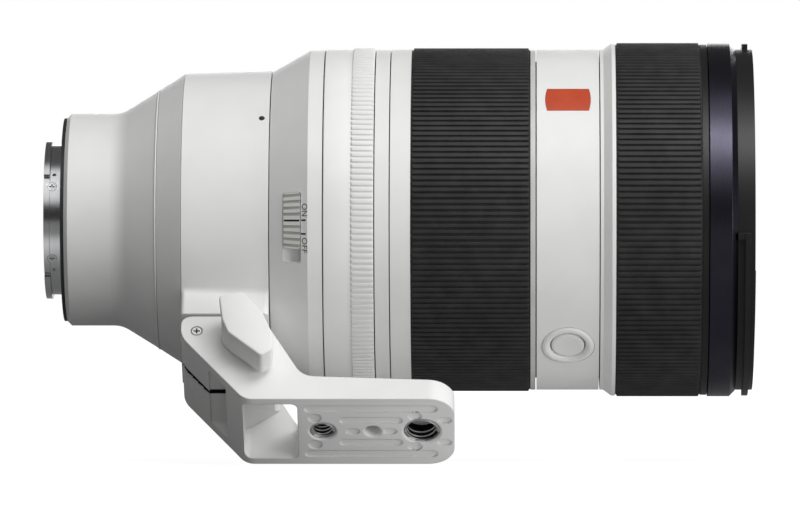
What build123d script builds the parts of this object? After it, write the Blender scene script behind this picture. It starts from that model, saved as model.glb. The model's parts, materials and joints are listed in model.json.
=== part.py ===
from build123d import *
from math import atan2, cos, degrees, radians, sin
import os

# A large internal-zoom camera lens with a tripod collar and a removable foot, in millimetres.
# X runs along the optical axis from the flange face towards the front, and Z is up.
# Angles round the axis start at -Y, the side with the small slide switch, and grow towards +Z.

# Fits
running_gap = 0.1        # radial, a ring or slide on its tube
seat_gap = 0.05          # radial, a piece fixed in its seat
seam = 0.3               # along X, between neighbouring outer rings
fine_seam = 0.1          # along X, on both sides of the shoulder cone
hidden_gap = 0.4         # between inner pieces that pass each other

# Bayonet mount
throat_radius = 23.0
mount_tube_radius = 21.8
mount_bore_radius = 19.0
mount_depth = 5.3        # how far the claws reach behind the flange face
claw_thickness = 1.7
claw_starts = (34.7, 155.0, 252.0)
claw_arc = 61.3
flange_radius = 29.0
flange_thickness = 2.0
gasket_width = 0.5
gasket_proud = 0.1
mount_screw_count = 4
mount_screw_circle = 25.6
mount_screw_radius = 1.0
mount_screw_head = 1.75
screw_head_height = 0.9
mount_screw_length = 5.0
tube_screw_angles = (26.0, -31.0, 149.0, 206.0)
tube_screw_head = 1.35
tube_screw_radius = 0.8
tube_screw_length = 2.2
tube_screw_from_back = 2.4
tube_groove_width = 0.15
tube_groove_depth = 0.15
pin_angles = (36.3, -41.4)
pin_from_face = 2.3
pin_radius = 0.55
pin_depth = 0.6
baffle_bore = 15.5
baffle_front = 3.7
contact_block_depth = 1.2
contact_block_arc = 76.0
contact_count = 10
contact_pitch = 6.6
contact_radius = 0.75
contact_proud = 0.25

# Rear barrel and the cone behind the collar
rear_start = 0.9
rear_radius = 30.85
rear_straight = 15.7
rear_cone_length = 11.3
rear_cone_radius = 37.8
rear_edge = 1.1
rear_blend = 8.0         # fillet where the cone leaves the barrel
shell_wall = 2.0
shoulder_length = 7.3
shoulder_radius = 42.5
neck_bore = 33.0         # bore of the rear barrel's front end
neck_length = 4.9
spigot_wall = 1.8
spigot_clear = 1.0

# Tripod collar
collar_width = 25.3
collar_back_radius = 42.5
collar_front_radius = 43.2
sleeve_radius = 39.4
sleeve_wall = 1.8
sleeve_seat = 2.2
foot_turn = 40.0         # the foot hangs this far from straight down, towards -Y
pedestal_half_width = 15.6
pedestal_corner = 1.2
pedestal_root = 2.0      # fillet where the pedestal leaves the collar
pedestal_depth = 48.2    # distance of the pedestal's face from the axis
dovetail_height = 5.4
dovetail_neck = 7.0
dovetail_foot = 9.2
knob_radius = 7.6
knob_height = 9.0
knob_lobes = 10
knob_gap = 0.6
knob_boss_radius = 8.2
knob_boss_reach = 45.6   # distance of the boss face from the axis
lock_screw_radius = 2.5

# Foot
foot_gap = 0.4
foot_half_width = 14.8
foot_sole = 79.0         # distance of the sole from the axis
foot_tip = 113.8         # X of the foot's front end
foot_back_drop = 7.4
foot_heel = 54.0
arm_top_length = 23.0
plate_start = 70.4
plate_thickness_back = 8.5
plate_thickness_front = 6.8
tip_corner = 7.5
window_start = 53.5
window_length = 15.6
window_wall = 2.4
window_roof = 17.9
window_back_roof = 10.0
window_step = 8.5
window_corner = 2.0
slit_place = 1.5
slit_width = 1.9
slit_reach = 17.7
notch_start = 43.7
notch_length = 4.9
notch_half_width = 11.6
notch_roof = 65.5
quarter_x = 76.2
pin_hole_x = 90.5
three_eighths_x = 104.5
quarter_radius = 2.6
pin_hole_radius = 2.25
three_eighths_radius = 4.05
insert_wall = 1.15
insert_length = 5.8
hole_chamfer = 0.5
quarter_mouth = 0.45
three_eighths_mouth = 0.6
relief_depth = 0.45
stop_screw_x = 40.0
stop_screw_drop = 5.4
stop_screw_head = 1.65
stop_screw_radius = 1.0
foot_slide = 11.0        # travel until the stop screw meets the end of its groove

# Foot lever
lever_x = 52.5
lever_drop = 8.4
lever_hub_radius = 5.4
lever_stand = 0.4
lever_foot_gap = 1.5
lever_thickness = 8.4
clamp_screw_radius = 2.0
clamp_screw_end = 12.0

# Switch barrel
switch_cone_length = 11.2
switch_straight = 4.3
body_radius = 49.3
cone_step = 0.3          # how far the cone starts below the collar's edge
switch_place = 6.7       # from the collar seam to the middle of the switches
switch_width = 4.9
switch_depth = 1.6
switch_corner = 0.8
switch_travel = 4.9      # degrees
slider_arc = 19.55
slider_grooves = 9
slider_proud = 0.5
slider_gap = 0.15
slider_groove_width = 0.85
slider_groove_depth = 0.35
click_angle = -0.3
other_switch_angles = (148.0, 180.0, 212.0)

# Outer rings forward of the switch barrel
aperture_width = 14.7
aperture_rib_width = 6.7
ring_radius = body_radius + 0.2
rib_radius = ring_radius + 0.4
spacer_width = 4.4
zoom_edge_width = 6.0
zoom_grip_width = 34.4
zoom_trim_width = 1.6
band_width = 18.3
focus_edge_width = 4.6
focus_edge_flat = 1.1
focus_edge_rise = 1.0
focus_grip_width = 24.8
focus_trim_width = 1.9
focus_radius = ring_radius + 1.9
focus_edge_radius = focus_radius - 0.2
focus_trim_radius = focus_radius - 0.4
accent_width = 8.1
accent_chamfer = 1.6
hood_width = 5.0
hood_radius = ring_radius
rail_radius = hood_radius + 1.7
rail_inset = 1.3
rail_width = 1.6
rail_starts = (-96.0, 84.0)
rail_arc = 91.6
rail_stop_arc = 2.1
rail_stop_step = 0.3
filter_wall = 2.5
filter_radius = hood_radius - filter_wall
grip_thickness = 1.6
grip_rib_height = 0.5
main_rib_count = 48       # the grips' main ribs; the fine ones between them are left to the finish
rib_share = 0.62         # of the pitch
rib_end = 0.4

# Inner tubes
main_tube_wall = 2.0
main_tube_radius = body_radius - 3.3
main_tube_bore = main_tube_radius - main_tube_wall
main_tube_neck = sleeve_radius + main_tube_wall
neck_overlap = 2.0
neck_inset = 1.0
tube_step = 2.0
cam_wall = 1.35
cam_start = 94.5
cam_length = 55.5
guide_wall = 2.0
guide_start = 76.0
guide_flange = 2.0
zoom_turn = 85.0         # degrees of the zoom ring from short to long
key_x = 98.3
key_width = 3.2
key_length = 5.0
key_angle = 90.0
key_cover = 0.8
follower_radius = 1.5
follower_count = 3
slot_play = 0.15
variator_x = 105.5
variator_travel = 11.0
compensator_x = 143.0
compensator_travel = -12.0
carrier_length = 12.0
carrier_wall = 2.2
carrier_lens_radius = 30.0
carrier_web = 2.4
carrier_lens_edge = 6.0
carrier_lens_bulge = 1.8

# Lenses and their cells
front_lens_radius = main_tube_bore - 3.0
front_lens_place = 181.0
front_lens_edge = 6.0
front_lens_bulge = 4.5
front_lens_hollow = 2.0
front_cell_start = 158.0
front_cell_end = 190.0
second_lens_place = 166.0
second_lens_edge = 5.0
trim_flange = 1.4
trim_seat_lip = 0.6       # how far the trim ring's seat is cut outside the filter thread
rear_lens_radius = 17.0
rear_cell_start = 4.4
rear_cell_wall = 2.4
rear_flange_thickness = 1.9
board_thickness = 1.4
board_bore = 20.5
board_margin = 1.5
chip_size = (1.0, 9.0, 6.0)
chip_turns = (20, 110, 200, 290)
rear_back_edge = 3.2
rear_front_edge = 3.6
rear_lens_spacing = 6.0
rear_lens_inset = 0.6

# Iris unit
iris_back = 65.0
iris_length = 7.6
iris_bore = 21.0
iris_floor = 1.6
iris_blade_count = 11
iris_blade_thickness = 0.12
iris_wall = 2.0
iris_blade_pitch = 0.28
iris_blade_arc = 62.0
iris_ring_place = 5.0
iris_ring_thickness = 1.5

# Focus unit
focus_plate_thickness = 1.8
focus_unit_start = 34.0
focus_end_room = 2.7
focus_rod_circle = 31.5
focus_rod_radius = 1.25
focus_rod_count = 4
focus_lens_radius = 22.0
focus_carrier_radius = 34.6
focus_carrier_thickness = 5.0
focus_travel = 12.0
focus_lens_bulge = 1.5
motor_angles = (45.0, 225.0)
motor_arc = 34.0
motor_inner = 35.6

# Buttons and the inlay on the front band
button_angles = (-47.5, 132.5, 222.5)
bezel_radius = 7.6
bezel_inner = 5.0
bezel_proud = 0.45
bezel_round = 0.8
button_radius = 4.75
button_height = 1.8
button_cap = 1.0
button_sink = 0.15
button_travel = 0.6
button_stem = 1.5
badge_angle = 44.3
badge_length = 13.0
badge_arc = 10.2
badge_inset = 0.35
badge_bulge = 0.55       # how far its ends bow out

# Stations along X, worked out from the widths
x_rear_cone = rear_start + rear_straight
x_step = x_rear_cone + rear_cone_length
x_collar = x_step + shoulder_length
x_switch = x_collar + collar_width
x_switch_flat = x_switch + switch_cone_length
x_aperture = x_switch_flat + switch_straight
x_spacer = x_aperture + aperture_width
x_zoom = x_spacer + spacer_width
x_zoom_grip = x_zoom + zoom_edge_width
x_zoom_trim = x_zoom_grip + zoom_grip_width
x_band = x_zoom_trim + zoom_trim_width
x_focus = x_band + band_width
x_focus_grip = x_focus + focus_edge_width
x_focus_trim = x_focus_grip + focus_grip_width
x_accent = x_focus_trim + focus_trim_width
x_hood = x_accent + accent_width
x_front = x_hood + hood_width

# Radii of the nested tubes
ring_bore = main_tube_radius + running_gap
fixed_ring_bore = main_tube_radius + seat_gap
cam_outer = main_tube_bore - running_gap
cam_inner = cam_outer - cam_wall
guide_outer = cam_inner - hidden_gap
guide_bore = guide_outer - guide_wall
sleeve_bore = sleeve_radius - sleeve_wall
trim_seat_radius = filter_radius + trim_seat_lip
trim_seat_play = 2 * running_gap


def flat(*points):
    return make_face(Polyline(*points, close=True))


def turned(*outline):
    # A closed outline of (x, radius) points, turned round the optical axis
    return revolve(flat(*outline), Axis.X)


def tube(start, end, inner, outer):
    return turned((start, inner), (end, inner), (end, outer), (start, outer))


def sector(start, end, inner, outer, low, high):
    # Part of a tube between two angles
    outline = flat((start, -inner), (end, -inner), (end, -outer), (start, -outer))
    part = revolve(outline, Axis.X, high - low)
    return Rot(X=-high) * part


def radial_pin(x, angle, inner, outer, radius):
    # A round pin that points away from the axis
    pin = Pos(x, -(inner + outer) / 2, 0) * Rot(X=90) * Cylinder(radius, outer - inner)
    return Rot(X=-angle) * pin


def screw(radius, head, head_height, length):
    # A cross-head screw that points along -Z, with its head's top at the origin
    body = Pos(0, 0, -head_height / 2) * Cylinder(head, head_height)
    body += Pos(0, 0, -length / 2) * Cylinder(radius, length)
    arm = head * 1.1
    slot = head * 0.26
    depth = head_height * 0.55
    cross = Pos(0, 0, -depth / 2) * (Box(arm, slot, depth) + Box(slot, arm, depth))
    return body - cross


def group(solids):
    return Compound(children=[piece.solid() if len(piece.solids()) == 1 else piece for piece in solids])


def radial_screw(x, angle, top, radius, head, length):
    # A screw sunk from outside towards the axis, with its head's top at the radius named top
    return Rot(X=-angle) * Pos(x, -top, 0) * Rot(X=90) * screw(radius, head, screw_head_height, length)


# Bayonet mount and the rear end

tube_screw_x = tube_screw_from_back - mount_depth
shoulder_bore = neck_bore - seat_gap - spigot_wall
gasket_outer = flange_radius + gasket_width + seat_gap
rear_bore = rear_radius - shell_wall
mount_screw_places = PolarLocations(mount_screw_circle, mount_screw_count, start_angle=45)


def make_bayonet_mount():
    plate = tube(0, flange_thickness, mount_bore_radius, flange_radius)
    plate += tube(-mount_depth, flange_thickness / 2, mount_bore_radius, mount_tube_radius)
    for start in claw_starts:
        plate += sector(-mount_depth, claw_thickness - mount_depth, mount_tube_radius - 1, throat_radius,
                        start, start + claw_arc)
    groove = claw_thickness - mount_depth
    plate -= tube(groove, groove + tube_groove_width, mount_tube_radius - tube_groove_depth,
                  throat_radius + 1)
    for angle in pin_angles:
        plate -= radial_pin(-pin_from_face, angle, mount_tube_radius - pin_depth, throat_radius, pin_radius)
    plate -= flange_screws(mount_screw_head + seat_gap, mount_screw_radius + seat_gap)
    for angle in tube_screw_angles:
        plate -= radial_pin(tube_screw_x, angle, mount_bore_radius - 1, throat_radius + 1,
                            tube_screw_head + seat_gap)
    return plate


def flange_screws(head, radius):
    # Plain shafts with heads, on the flange's screw circle, pointing forwards from the flange face
    shaft = Pos(0, 0, -screw_head_height / 2) * Cylinder(head, screw_head_height)
    shaft += Pos(0, 0, -mount_screw_length / 2) * Cylinder(radius, mount_screw_length)
    return [Rot(Y=-90) * place * shaft for place in mount_screw_places]


def make_mount_screws():
    # The screws of the flange, then the small ones that hold the baffle inside the bayonet tube
    one = screw(mount_screw_radius, mount_screw_head, screw_head_height, mount_screw_length)
    screws = [Rot(Y=-90) * place * one for place in mount_screw_places]
    for angle in tube_screw_angles:
        screws.append(radial_screw(tube_screw_x, angle, mount_tube_radius - seat_gap, tube_screw_radius,
                                   tube_screw_head, tube_screw_length))
    return group(screws)


def make_gasket():
    return tube(-gasket_proud, flange_thickness, flange_radius + seat_gap, gasket_outer)


def make_rear_baffle():
    return tube(-mount_depth + contact_block_depth, baffle_front, baffle_bore, mount_bore_radius - seat_gap)


def make_contact_block():
    outer = mount_bore_radius - seat_gap
    return sector(-mount_depth, -mount_depth + contact_block_depth, baffle_bore + 0.2, outer,
                  -90 - contact_block_arc / 2, -90 + contact_block_arc / 2)


def make_contact_pins():
    circle = (baffle_bore + mount_bore_radius) / 2
    first = -90 - contact_pitch * (contact_count - 1) / 2
    place = Pos(-mount_depth - contact_proud / 2, -circle, 0)
    pin = place * Rot(Y=90) * Cylinder(contact_radius, contact_proud)
    return group([Rot(X=-(first + contact_pitch * n)) * pin for n in range(contact_count)])


def make_rear_barrel():
    seat = gasket_outer + seat_gap
    shell = turned((rear_start, seat), (rear_start, rear_radius - rear_edge),
                   (rear_start + rear_edge, rear_radius), (x_rear_cone, rear_radius),
                   (x_step - fine_seam / 2, rear_cone_radius), (x_step - fine_seam / 2, neck_bore),
                   (x_step - neck_length, neck_bore), (x_rear_cone - 1, rear_bore),
                   (flange_thickness + 2 * shell_wall, rear_bore),
                   (flange_thickness + 2 * shell_wall, mount_bore_radius + 2),
                   (flange_thickness, mount_bore_radius + 2), (flange_thickness, seat))
    corner = shell.edges().filter_by(GeomType.CIRCLE).filter_by(
        lambda edge: abs(edge.radius - rear_radius) < seat_gap and edge.center().X > x_rear_cone - seat_gap)
    shell = fillet(corner, rear_blend)
    return shell - flange_screws(mount_screw_radius + seat_gap, mount_screw_radius + seat_gap)


def make_shoulder_cone():
    # The cone behind the collar, with the spigot that plugs into the rear barrel
    slope = (shoulder_radius - rear_cone_radius) / shoulder_length
    back = x_step + fine_seam / 2
    back_radius = rear_cone_radius + slope * fine_seam
    front = x_collar - fine_seam / 2
    sleeve_start = front - sleeve_seat
    return turned((back - spigot_length, shoulder_bore), (sleeve_start, shoulder_bore),
                  (sleeve_start, sleeve_radius + seat_gap), (front, sleeve_radius + seat_gap),
                  (front, shoulder_radius - slope * fine_seam / 2), (back, back_radius),
                  (back, neck_bore - seat_gap), (back - spigot_length, neck_bore - seat_gap))


spigot_length = neck_length - spigot_clear
spigot_end = x_step + fine_seam / 2 - spigot_length


def make_main_board():
    board = tube(spigot_end - board_thickness, spigot_end, board_bore, neck_bore - board_margin)
    chip_x = spigot_end - board_thickness - chip_size[0] / 2
    chip = Pos(chip_x, 0, (board_bore + neck_bore) / 2) * Box(*chip_size)
    for turn in chip_turns:
        board += Rot(X=turn) * chip
    return board


def make_rear_cell():
    outer = rear_lens_radius + rear_cell_wall
    flange_end = spigot_end + rear_flange_thickness
    return turned((rear_cell_start, rear_lens_radius + seat_gap), (flange_end, rear_lens_radius + seat_gap),
                  (flange_end, shoulder_bore - seat_gap), (spigot_end, shoulder_bore - seat_gap),
                  (spigot_end, outer), (rear_cell_start, outer))


def sphere_arc(vertex, edge, radius):
    # A spherical face's outline, from its vertex on the axis to its edge
    sag = vertex - edge
    curve = (radius ** 2 + sag ** 2) / (2 * sag)
    height = radius / 2
    middle = vertex - curve + (1 if curve > 0 else -1) * (curve ** 2 - height ** 2) ** 0.5
    return ThreePointArc((vertex, 0), (middle, height), (edge, radius))


def lens(place, radius, edge, front_sag, back_sag):
    # A round lens whose edge starts at place; a positive sag bulges forwards
    end = place + edge
    front = sphere_arc(end + front_sag, end, radius)
    back = sphere_arc(place + back_sag, place, radius)
    axis_line = Line((place + back_sag, 0), (end + front_sag, 0))
    return revolve(make_face([axis_line, front, Line((end, radius), (place, radius)), back]), Axis.X)


def make_rear_lenses():
    back = lens(rear_cell_start + rear_lens_inset, rear_lens_radius, rear_back_edge, 1.2, -0.4)
    front = lens(spigot_end - rear_lens_spacing, rear_lens_radius, rear_front_edge, 2.0, 1.0)
    return group([back, front])


# Tripod collar, built with the foot straight down and then turned

def make_bearing_sleeve():
    return tube(x_collar - fine_seam / 2 - sleeve_seat, sleeve_end, sleeve_bore, sleeve_radius)


sleeve_end = x_switch + seam / 2 + neck_overlap + 1.5


def make_tripod_collar():
    back, front = x_collar + fine_seam / 2, x_switch - seam / 2
    middle = (back + front) / 2
    collar = turned((back, 0), (front, 0), (front, collar_front_radius), (back, collar_back_radius))
    pedestal = Box(front - back, 2 * pedestal_half_width, pedestal_depth)
    pedestal = fillet(pedestal.edges().filter_by(Axis.Z), pedestal_corner)
    collar += Pos(middle, 0, -pedestal_depth / 2) * pedestal
    roots = collar.edges().filter_by(
        lambda edge: abs(abs(edge.center().Y) - pedestal_half_width) < seam and edge.length > collar_width / 2
        and -collar_back_radius < edge.center().Z < -pedestal_half_width)
    trim = Box(front - back, 4 * pedestal_depth, 4 * pedestal_depth)
    collar = fillet(roots, pedestal_root) & Pos(middle, 0, 0) * trim
    collar += Pos(middle, knob_boss_reach / 2, 0) * Rot(X=90) * Cylinder(knob_boss_radius, knob_boss_reach)
    collar += dovetail(back, front, 0)
    collar -= stop_groove()
    collar -= tube(back - 1, front + 1, 0, sleeve_radius + running_gap)
    hole = lock_screw_radius + seat_gap
    collar -= Pos(middle, knob_boss_reach, 0) * Rot(X=90) * Cylinder(hole, knob_boss_reach / 2)
    return collar


def dovetail(start, end, gap):
    # The rail under the pedestal, widened by gap where it is used as a cutter
    top = -pedestal_depth + (0 if gap == 0 else gap + 1)
    bottom = -pedestal_depth - dovetail_height - gap
    spread = (dovetail_foot - dovetail_neck) / dovetail_height
    half_top = dovetail_neck + gap - spread * (top + pedestal_depth)
    half_bottom = dovetail_foot + gap * (1 + spread)
    face = flat((-half_top, top), (half_top, top), (half_bottom, bottom), (-half_bottom, bottom))
    return Pos(start, 0, 0) * extrude(Plane.YZ * face, end - start)


def stop_groove():
    # The step along the rail's lower edge that the foot's stop screw runs in
    play = stop_screw_radius + slot_play
    length = foot_slide + 2 * play
    depth = dovetail_foot - stop_tip + slot_play
    middle = Pos(stop_screw_x - play + length / 2, -dovetail_foot + depth / 2, -stop_depth)
    return middle * Box(length, depth, 2 * play)


foot_top = pedestal_depth + foot_gap
stop_depth = foot_top + stop_screw_drop
stop_tip = dovetail_foot - 1.0
lever_depth = foot_top + lever_drop
foot_back = x_collar + seam
quarter_outer = quarter_radius + insert_wall
three_eighths_outer = three_eighths_radius + insert_wall


def make_lock_knob():
    base = knob_boss_reach + knob_gap
    knob = Pos(0, 0, knob_height / 2) * Cylinder(knob_radius, knob_height)
    knob = chamfer(knob.edges().group_by(Axis.Z)[-1], 0.8)
    for place in PolarLocations(knob_radius + 0.9, knob_lobes):
        knob -= place * Pos(0, 0, knob_height / 2 + 1) * Cylinder(1.6, knob_height)
    knob -= Pos(0, 0, knob_height * 0.3) * Cylinder(lock_screw_radius + seat_gap, knob_height * 0.6)
    return Pos((x_collar + x_switch) / 2, base, 0) * Rot(X=-90) * knob


def make_lock_screw():
    start = sleeve_radius + 0.3
    end = knob_boss_reach + knob_gap + knob_height * 0.6
    place = Pos((x_collar + x_switch) / 2, (start + end) / 2, 0)
    return place * Rot(X=90) * Cylinder(lock_screw_radius, end - start)


# Foot, built straight down as well

def along_x_and_down(*points):
    # A closed outline of (x, depth) points in the side plane
    return Plane.XZ * flat(*[(x, -depth) for x, depth in points])


def foot_blank():
    points = [(foot_back, foot_top), (foot_back, foot_top + foot_back_drop), (foot_heel, foot_sole),
              (foot_tip, foot_sole), (foot_tip, foot_sole - plate_thickness_front),
              (plate_start, foot_sole - plate_thickness_back), (foot_back + arm_top_length, foot_top)]
    corners = [3, 8, 5, 0, 0, 6, 2.5]
    outline = FilletPolyline(*[(x, -depth) for x, depth in points], radius=corners, close=True)
    blank = extrude(Plane.XZ * make_face(outline), foot_half_width, both=True)
    tip_edges = blank.edges().filter_by(Axis.Z).sort_by(Axis.X)[-2:]
    return fillet(tip_edges, tip_corner)


def foot_window():
    start, end = window_start, window_start + window_length
    depth = foot_top + window_roof
    face = along_x_and_down((start, foot_sole + 1), (end, foot_sole + 1), (end, foot_top - 1),
                            (start + window_step, foot_top - 1), (start + window_step, depth - 4),
                            (start, foot_sole - window_back_roof))
    cutter = extrude(face, foot_half_width - window_wall, both=True)
    return fillet(cutter.edges().filter_by(Axis.Z), window_corner)


def sole_hole(x, radius, depth, mouth):
    # A round hole up from the sole with a chamfered mouth
    hole = Pos(x, 0, -foot_sole + depth / 2) * Cylinder(radius, depth)
    return hole + Pos(x, 0, -foot_sole + hole_chamfer / 2) * Rot(X=180) * Cone(radius, mouth, hole_chamfer)


def sole_relief():
    # Shallow pockets in the sole: start and end along X, place across, width
    pockets = [(71.0, 109.0, 10.2, 3.0), (81.0, 99.0, 5.0, 2.8), (72.0, 75.9, 6.0, 3.9),
               (109.0, 113.0, 5.0, 2.7), (100.5, 104.5, 7.0, 3.4)]
    cutters = []
    for start, end, across, width in pockets:
        for side in (-1, 1):
            cutters.append(relief_pocket(start, end, side * across, width))
    for start, end in ((82.7, 86.8), (93.4, 97.4)):
        cutters.append(relief_pocket(start, end, 0, 2.6))
    return cutters


def relief_pocket(start, end, across, width):
    outline = RectangleRounded(end - start, width, width / 2 - 0.01)
    return Pos((start + end) / 2, across, -foot_sole - 1) * extrude(outline, relief_depth + 1)


def across_pin(x, depth, low, high, radius):
    # A round pin along Y between two places, at a depth below the axis
    return Pos(x, (low + high) / 2, -depth) * Rot(X=90) * Cylinder(radius, high - low)


def make_foot():
    foot = foot_blank()
    foot -= foot_window()
    foot -= dovetail(foot_back - 1, foot_back + arm_top_length + foot_slide, slot_play)
    slit_start, slit_end = foot_back - 1, window_start + window_length + slot_play
    slit_depth = slit_reach / 2 + 1
    foot -= Pos((slit_start + slit_end) / 2, -slit_place, -foot_top - slit_depth) * Box(
        slit_end - slit_start, slit_width, 2 * slit_depth)
    notch = Box(notch_length, 2 * notch_half_width, foot_sole - notch_roof)
    foot -= Pos(notch_start + notch_length / 2, 0, -(foot_sole + notch_roof) / 2) * notch
    foot -= sole_hole(quarter_x, quarter_outer + seat_gap, insert_length + hole_chamfer,
                      quarter_outer + quarter_mouth)
    foot -= sole_hole(pin_hole_x, pin_hole_radius, insert_length, pin_hole_radius + hole_chamfer)
    foot -= sole_hole(three_eighths_x, three_eighths_outer + seat_gap, insert_length + hole_chamfer,
                      three_eighths_outer + three_eighths_mouth)
    foot -= sole_relief()
    foot -= across_pin(lever_x, lever_depth, -foot_half_width - 1, clamp_screw_end + 0.5,
                       clamp_screw_radius + running_gap)
    face = -foot_half_width
    foot -= across_pin(stop_screw_x, stop_depth, face - 1, slot_play - stop_tip, stop_screw_radius + seat_gap)
    foot -= across_pin(stop_screw_x, stop_depth, face - 1, face + screw_head_height + seat_gap,
                       stop_screw_head + seat_gap)
    return foot


def make_insert(x, radius):
    # A threaded steel bush, let into the sole
    bush = Cylinder(radius + insert_wall, insert_length) - Cylinder(radius, insert_length + 1)
    return Pos(x, 0, -foot_sole + hole_chamfer + insert_length / 2) * bush


def make_stop_screw():
    one = screw(stop_screw_radius, stop_screw_head, screw_head_height, foot_half_width - stop_tip)
    return Pos(stop_screw_x, -foot_half_width, -stop_depth) * Rot(X=90) * one


def make_foot_lever():
    outline = [(-6.0, 8.0), (-4.9, -0.5), (-3.2, -5.3), (6.3, -14.0), (9.5, -11.8), (9.5, -6.0), (6.9, 1.2),
               (0.7, 9.6)]
    wing = extrude(Plane.XZ * flat(*outline), lever_thickness)
    wing = chamfer(wing.edges().filter_by(Axis.Y), 0.8)
    wing = chamfer(wing.faces().sort_by(Axis.Y)[0].edges(), 0.6)
    stand = lever_foot_gap - lever_stand
    hub = Pos(0, stand / 2, 0) * Rot(X=90) * Cylinder(lever_hub_radius, stand)
    lever = Pos(lever_x, -foot_half_width - lever_foot_gap, -lever_depth) * (wing + hub)
    lever -= across_pin(lever_x, lever_depth, -foot_half_width - lever_foot_gap - lever_thickness / 2,
                        -foot_half_width, clamp_screw_radius + seat_gap)
    return lever


def make_clamp_screw():
    return across_pin(lever_x, lever_depth, -foot_half_width - lever_foot_gap - lever_thickness / 2,
                      clamp_screw_end, clamp_screw_radius)


# Switch barrel and its slide switches

def cone_radius(x):
    # Outer radius of the cone in front of the collar
    start = collar_front_radius - cone_step
    return start + (body_radius - start) * (x - x_switch) / switch_cone_length


switch_x = x_switch + switch_place
flange_end = x_switch_flat + 2 * shell_wall


def make_switch_barrel():
    back, front = x_switch + seam / 2, x_aperture - seam / 2
    inside = shell_wall * 1.2
    barrel = turned((back, cone_radius(back)), (x_switch_flat, body_radius), (front, body_radius),
                    (front, fixed_ring_bore), (x_switch_flat, fixed_ring_bore),
                    (x_switch_flat - 1, fixed_ring_bore - inside), (back + 1, main_tube_neck + seat_gap),
                    (back, main_tube_neck + seat_gap))
    for angle in (click_angle,) + other_switch_angles:
        barrel -= switch_block(angle, slider_gap, 0, switch_travel)
    return barrel


def switch_block(angle, gap, rise, travel):
    # A slider's block at its first stop, or the slot that it runs in
    half = slider_arc / 2
    play = degrees(gap / body_radius)
    back, front = switch_x - switch_width / 2 - gap, switch_x + switch_width / 2 + gap
    floor = cone_radius(switch_x) - switch_depth - gap
    if rise > 0:
        back_top, front_top = cone_radius(back) + rise, cone_radius(front) + rise
    else:
        back_top = front_top = body_radius + 1
    face = flat((back, -floor), (front, -floor), (front, -front_top), (back, -back_top))
    arc = 2 * half + travel + 2 * play
    block = revolve(face, Axis.X, arc)
    corners = block.edges().filter_by(GeomType.LINE).filter_by(lambda edge: abs(edge.tangent_at(0).X) < 0.01)
    return Rot(X=-(angle + half + play)) * fillet(corners, switch_corner)


def make_slider(angle):
    # The slider stands at its upper stop, with finger grooves across its face
    block = switch_block(angle, 0, slider_proud, 0)
    pitch = slider_arc / slider_grooves
    top = cone_radius(switch_x) + slider_proud
    lean = degrees(atan2(body_radius - cone_radius(x_switch), switch_cone_length))
    for n in range(slider_grooves):
        place = angle - slider_arc / 2 + pitch * (n + 0.5)
        if n != slider_grooves // 2:
            groove = Box(2 * switch_width, slider_groove_depth * 2, slider_groove_width)
            block -= Rot(X=-place) * Pos(switch_x, -top, 0) * Rot(Z=-lean) * groove
    return block


# Outer rings

def make_aperture_ring():
    back, front = x_aperture + seam / 2, x_spacer - seam / 2
    ribs = x_spacer - aperture_rib_width
    return turned((back, ring_bore), (front, ring_bore), (front, rib_radius), (ribs, rib_radius),
                  (ribs, ring_radius), (back, ring_radius))


def make_spacer_ring():
    return tube(x_spacer + seam / 2, x_zoom - seam / 2, fixed_ring_bore, ring_radius)


def make_zoom_ring():
    back = x_zoom + seam / 2
    floor = rib_radius - grip_thickness - seat_gap
    ring = turned((back, ring_bore), (x_zoom_trim, ring_bore), (x_zoom_trim, floor), (x_zoom_grip, floor),
                  (x_zoom_grip, ring_radius), (back, ring_radius))
    return ring - drive_key(seat_gap)


def make_grip(start, end, radius):
    # A rubber sleeve with ribs along the axis
    sleeve = tube(start, end, radius - grip_thickness, radius)
    pitch = 360 / main_rib_count
    width = radians(pitch) * radius * (1 - rib_share)
    groove = Box(end - start - 2 * rib_end, 2 * grip_rib_height, width)
    grooves = [Rot(X=pitch * n) * Pos((start + end) / 2, -radius, 0) * groove for n in range(main_rib_count)]
    return sleeve - grooves


def make_zoom_grip():
    return make_grip(x_zoom_grip, x_zoom_trim, rib_radius)


def make_zoom_trim_ring():
    return tube(x_zoom_trim, x_band - seam / 2, ring_bore, ring_radius)


def drive_key(gap):
    # The key that carries the zoom ring's turn through the main tube to the cam barrel
    top = ring_radius - key_cover + gap
    bottom = cam_inner - gap
    block = Box(key_width + 2 * gap, top - bottom, key_length + 2 * gap)
    return Rot(X=-key_angle) * Pos(key_x, -(top + bottom) / 2, 0) * block


def make_front_band():
    band = tube(x_band + seam / 2, x_focus - seam / 2, fixed_ring_bore, ring_radius)
    for angle in button_angles:
        band -= radial_pin(band_middle, angle, button_floor, ring_radius + 1, bezel_radius + seat_gap)
    return band - make_badge_shape(seat_gap, 1)


band_middle = (x_band + x_focus) / 2
button_floor = ring_radius - button_height - button_travel - 0.4


def make_badge_shape(gap, rise):
    half_length = badge_length / 2 + gap
    half_width = radians(badge_arc / 2) * ring_radius + gap
    corner = half_length - badge_bulge
    outline = [Line((-corner, -half_width), (corner, -half_width)),
               ThreePointArc((corner, -half_width), (half_length, 0), (corner, half_width)),
               Line((corner, half_width), (-corner, half_width)),
               ThreePointArc((-corner, half_width), (-half_length, 0), (-corner, -half_width))]
    block = Pos(band_middle, 0, 0) * extrude(Plane.XZ * make_face(outline), ring_radius + rise)
    block &= tube(x_band, x_focus, ring_radius - badge_inset - gap, ring_radius + rise)
    return Rot(X=-badge_angle) * block


def outermost_edges(shape):
    # The circles of a radial pin's outer end
    circles = shape.edges().filter_by(GeomType.CIRCLE)
    reach = [edge.arc_center.Y ** 2 + edge.arc_center.Z ** 2 for edge in circles]
    return [edge for edge, far in zip(circles, reach) if far > max(reach) - 1]


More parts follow.
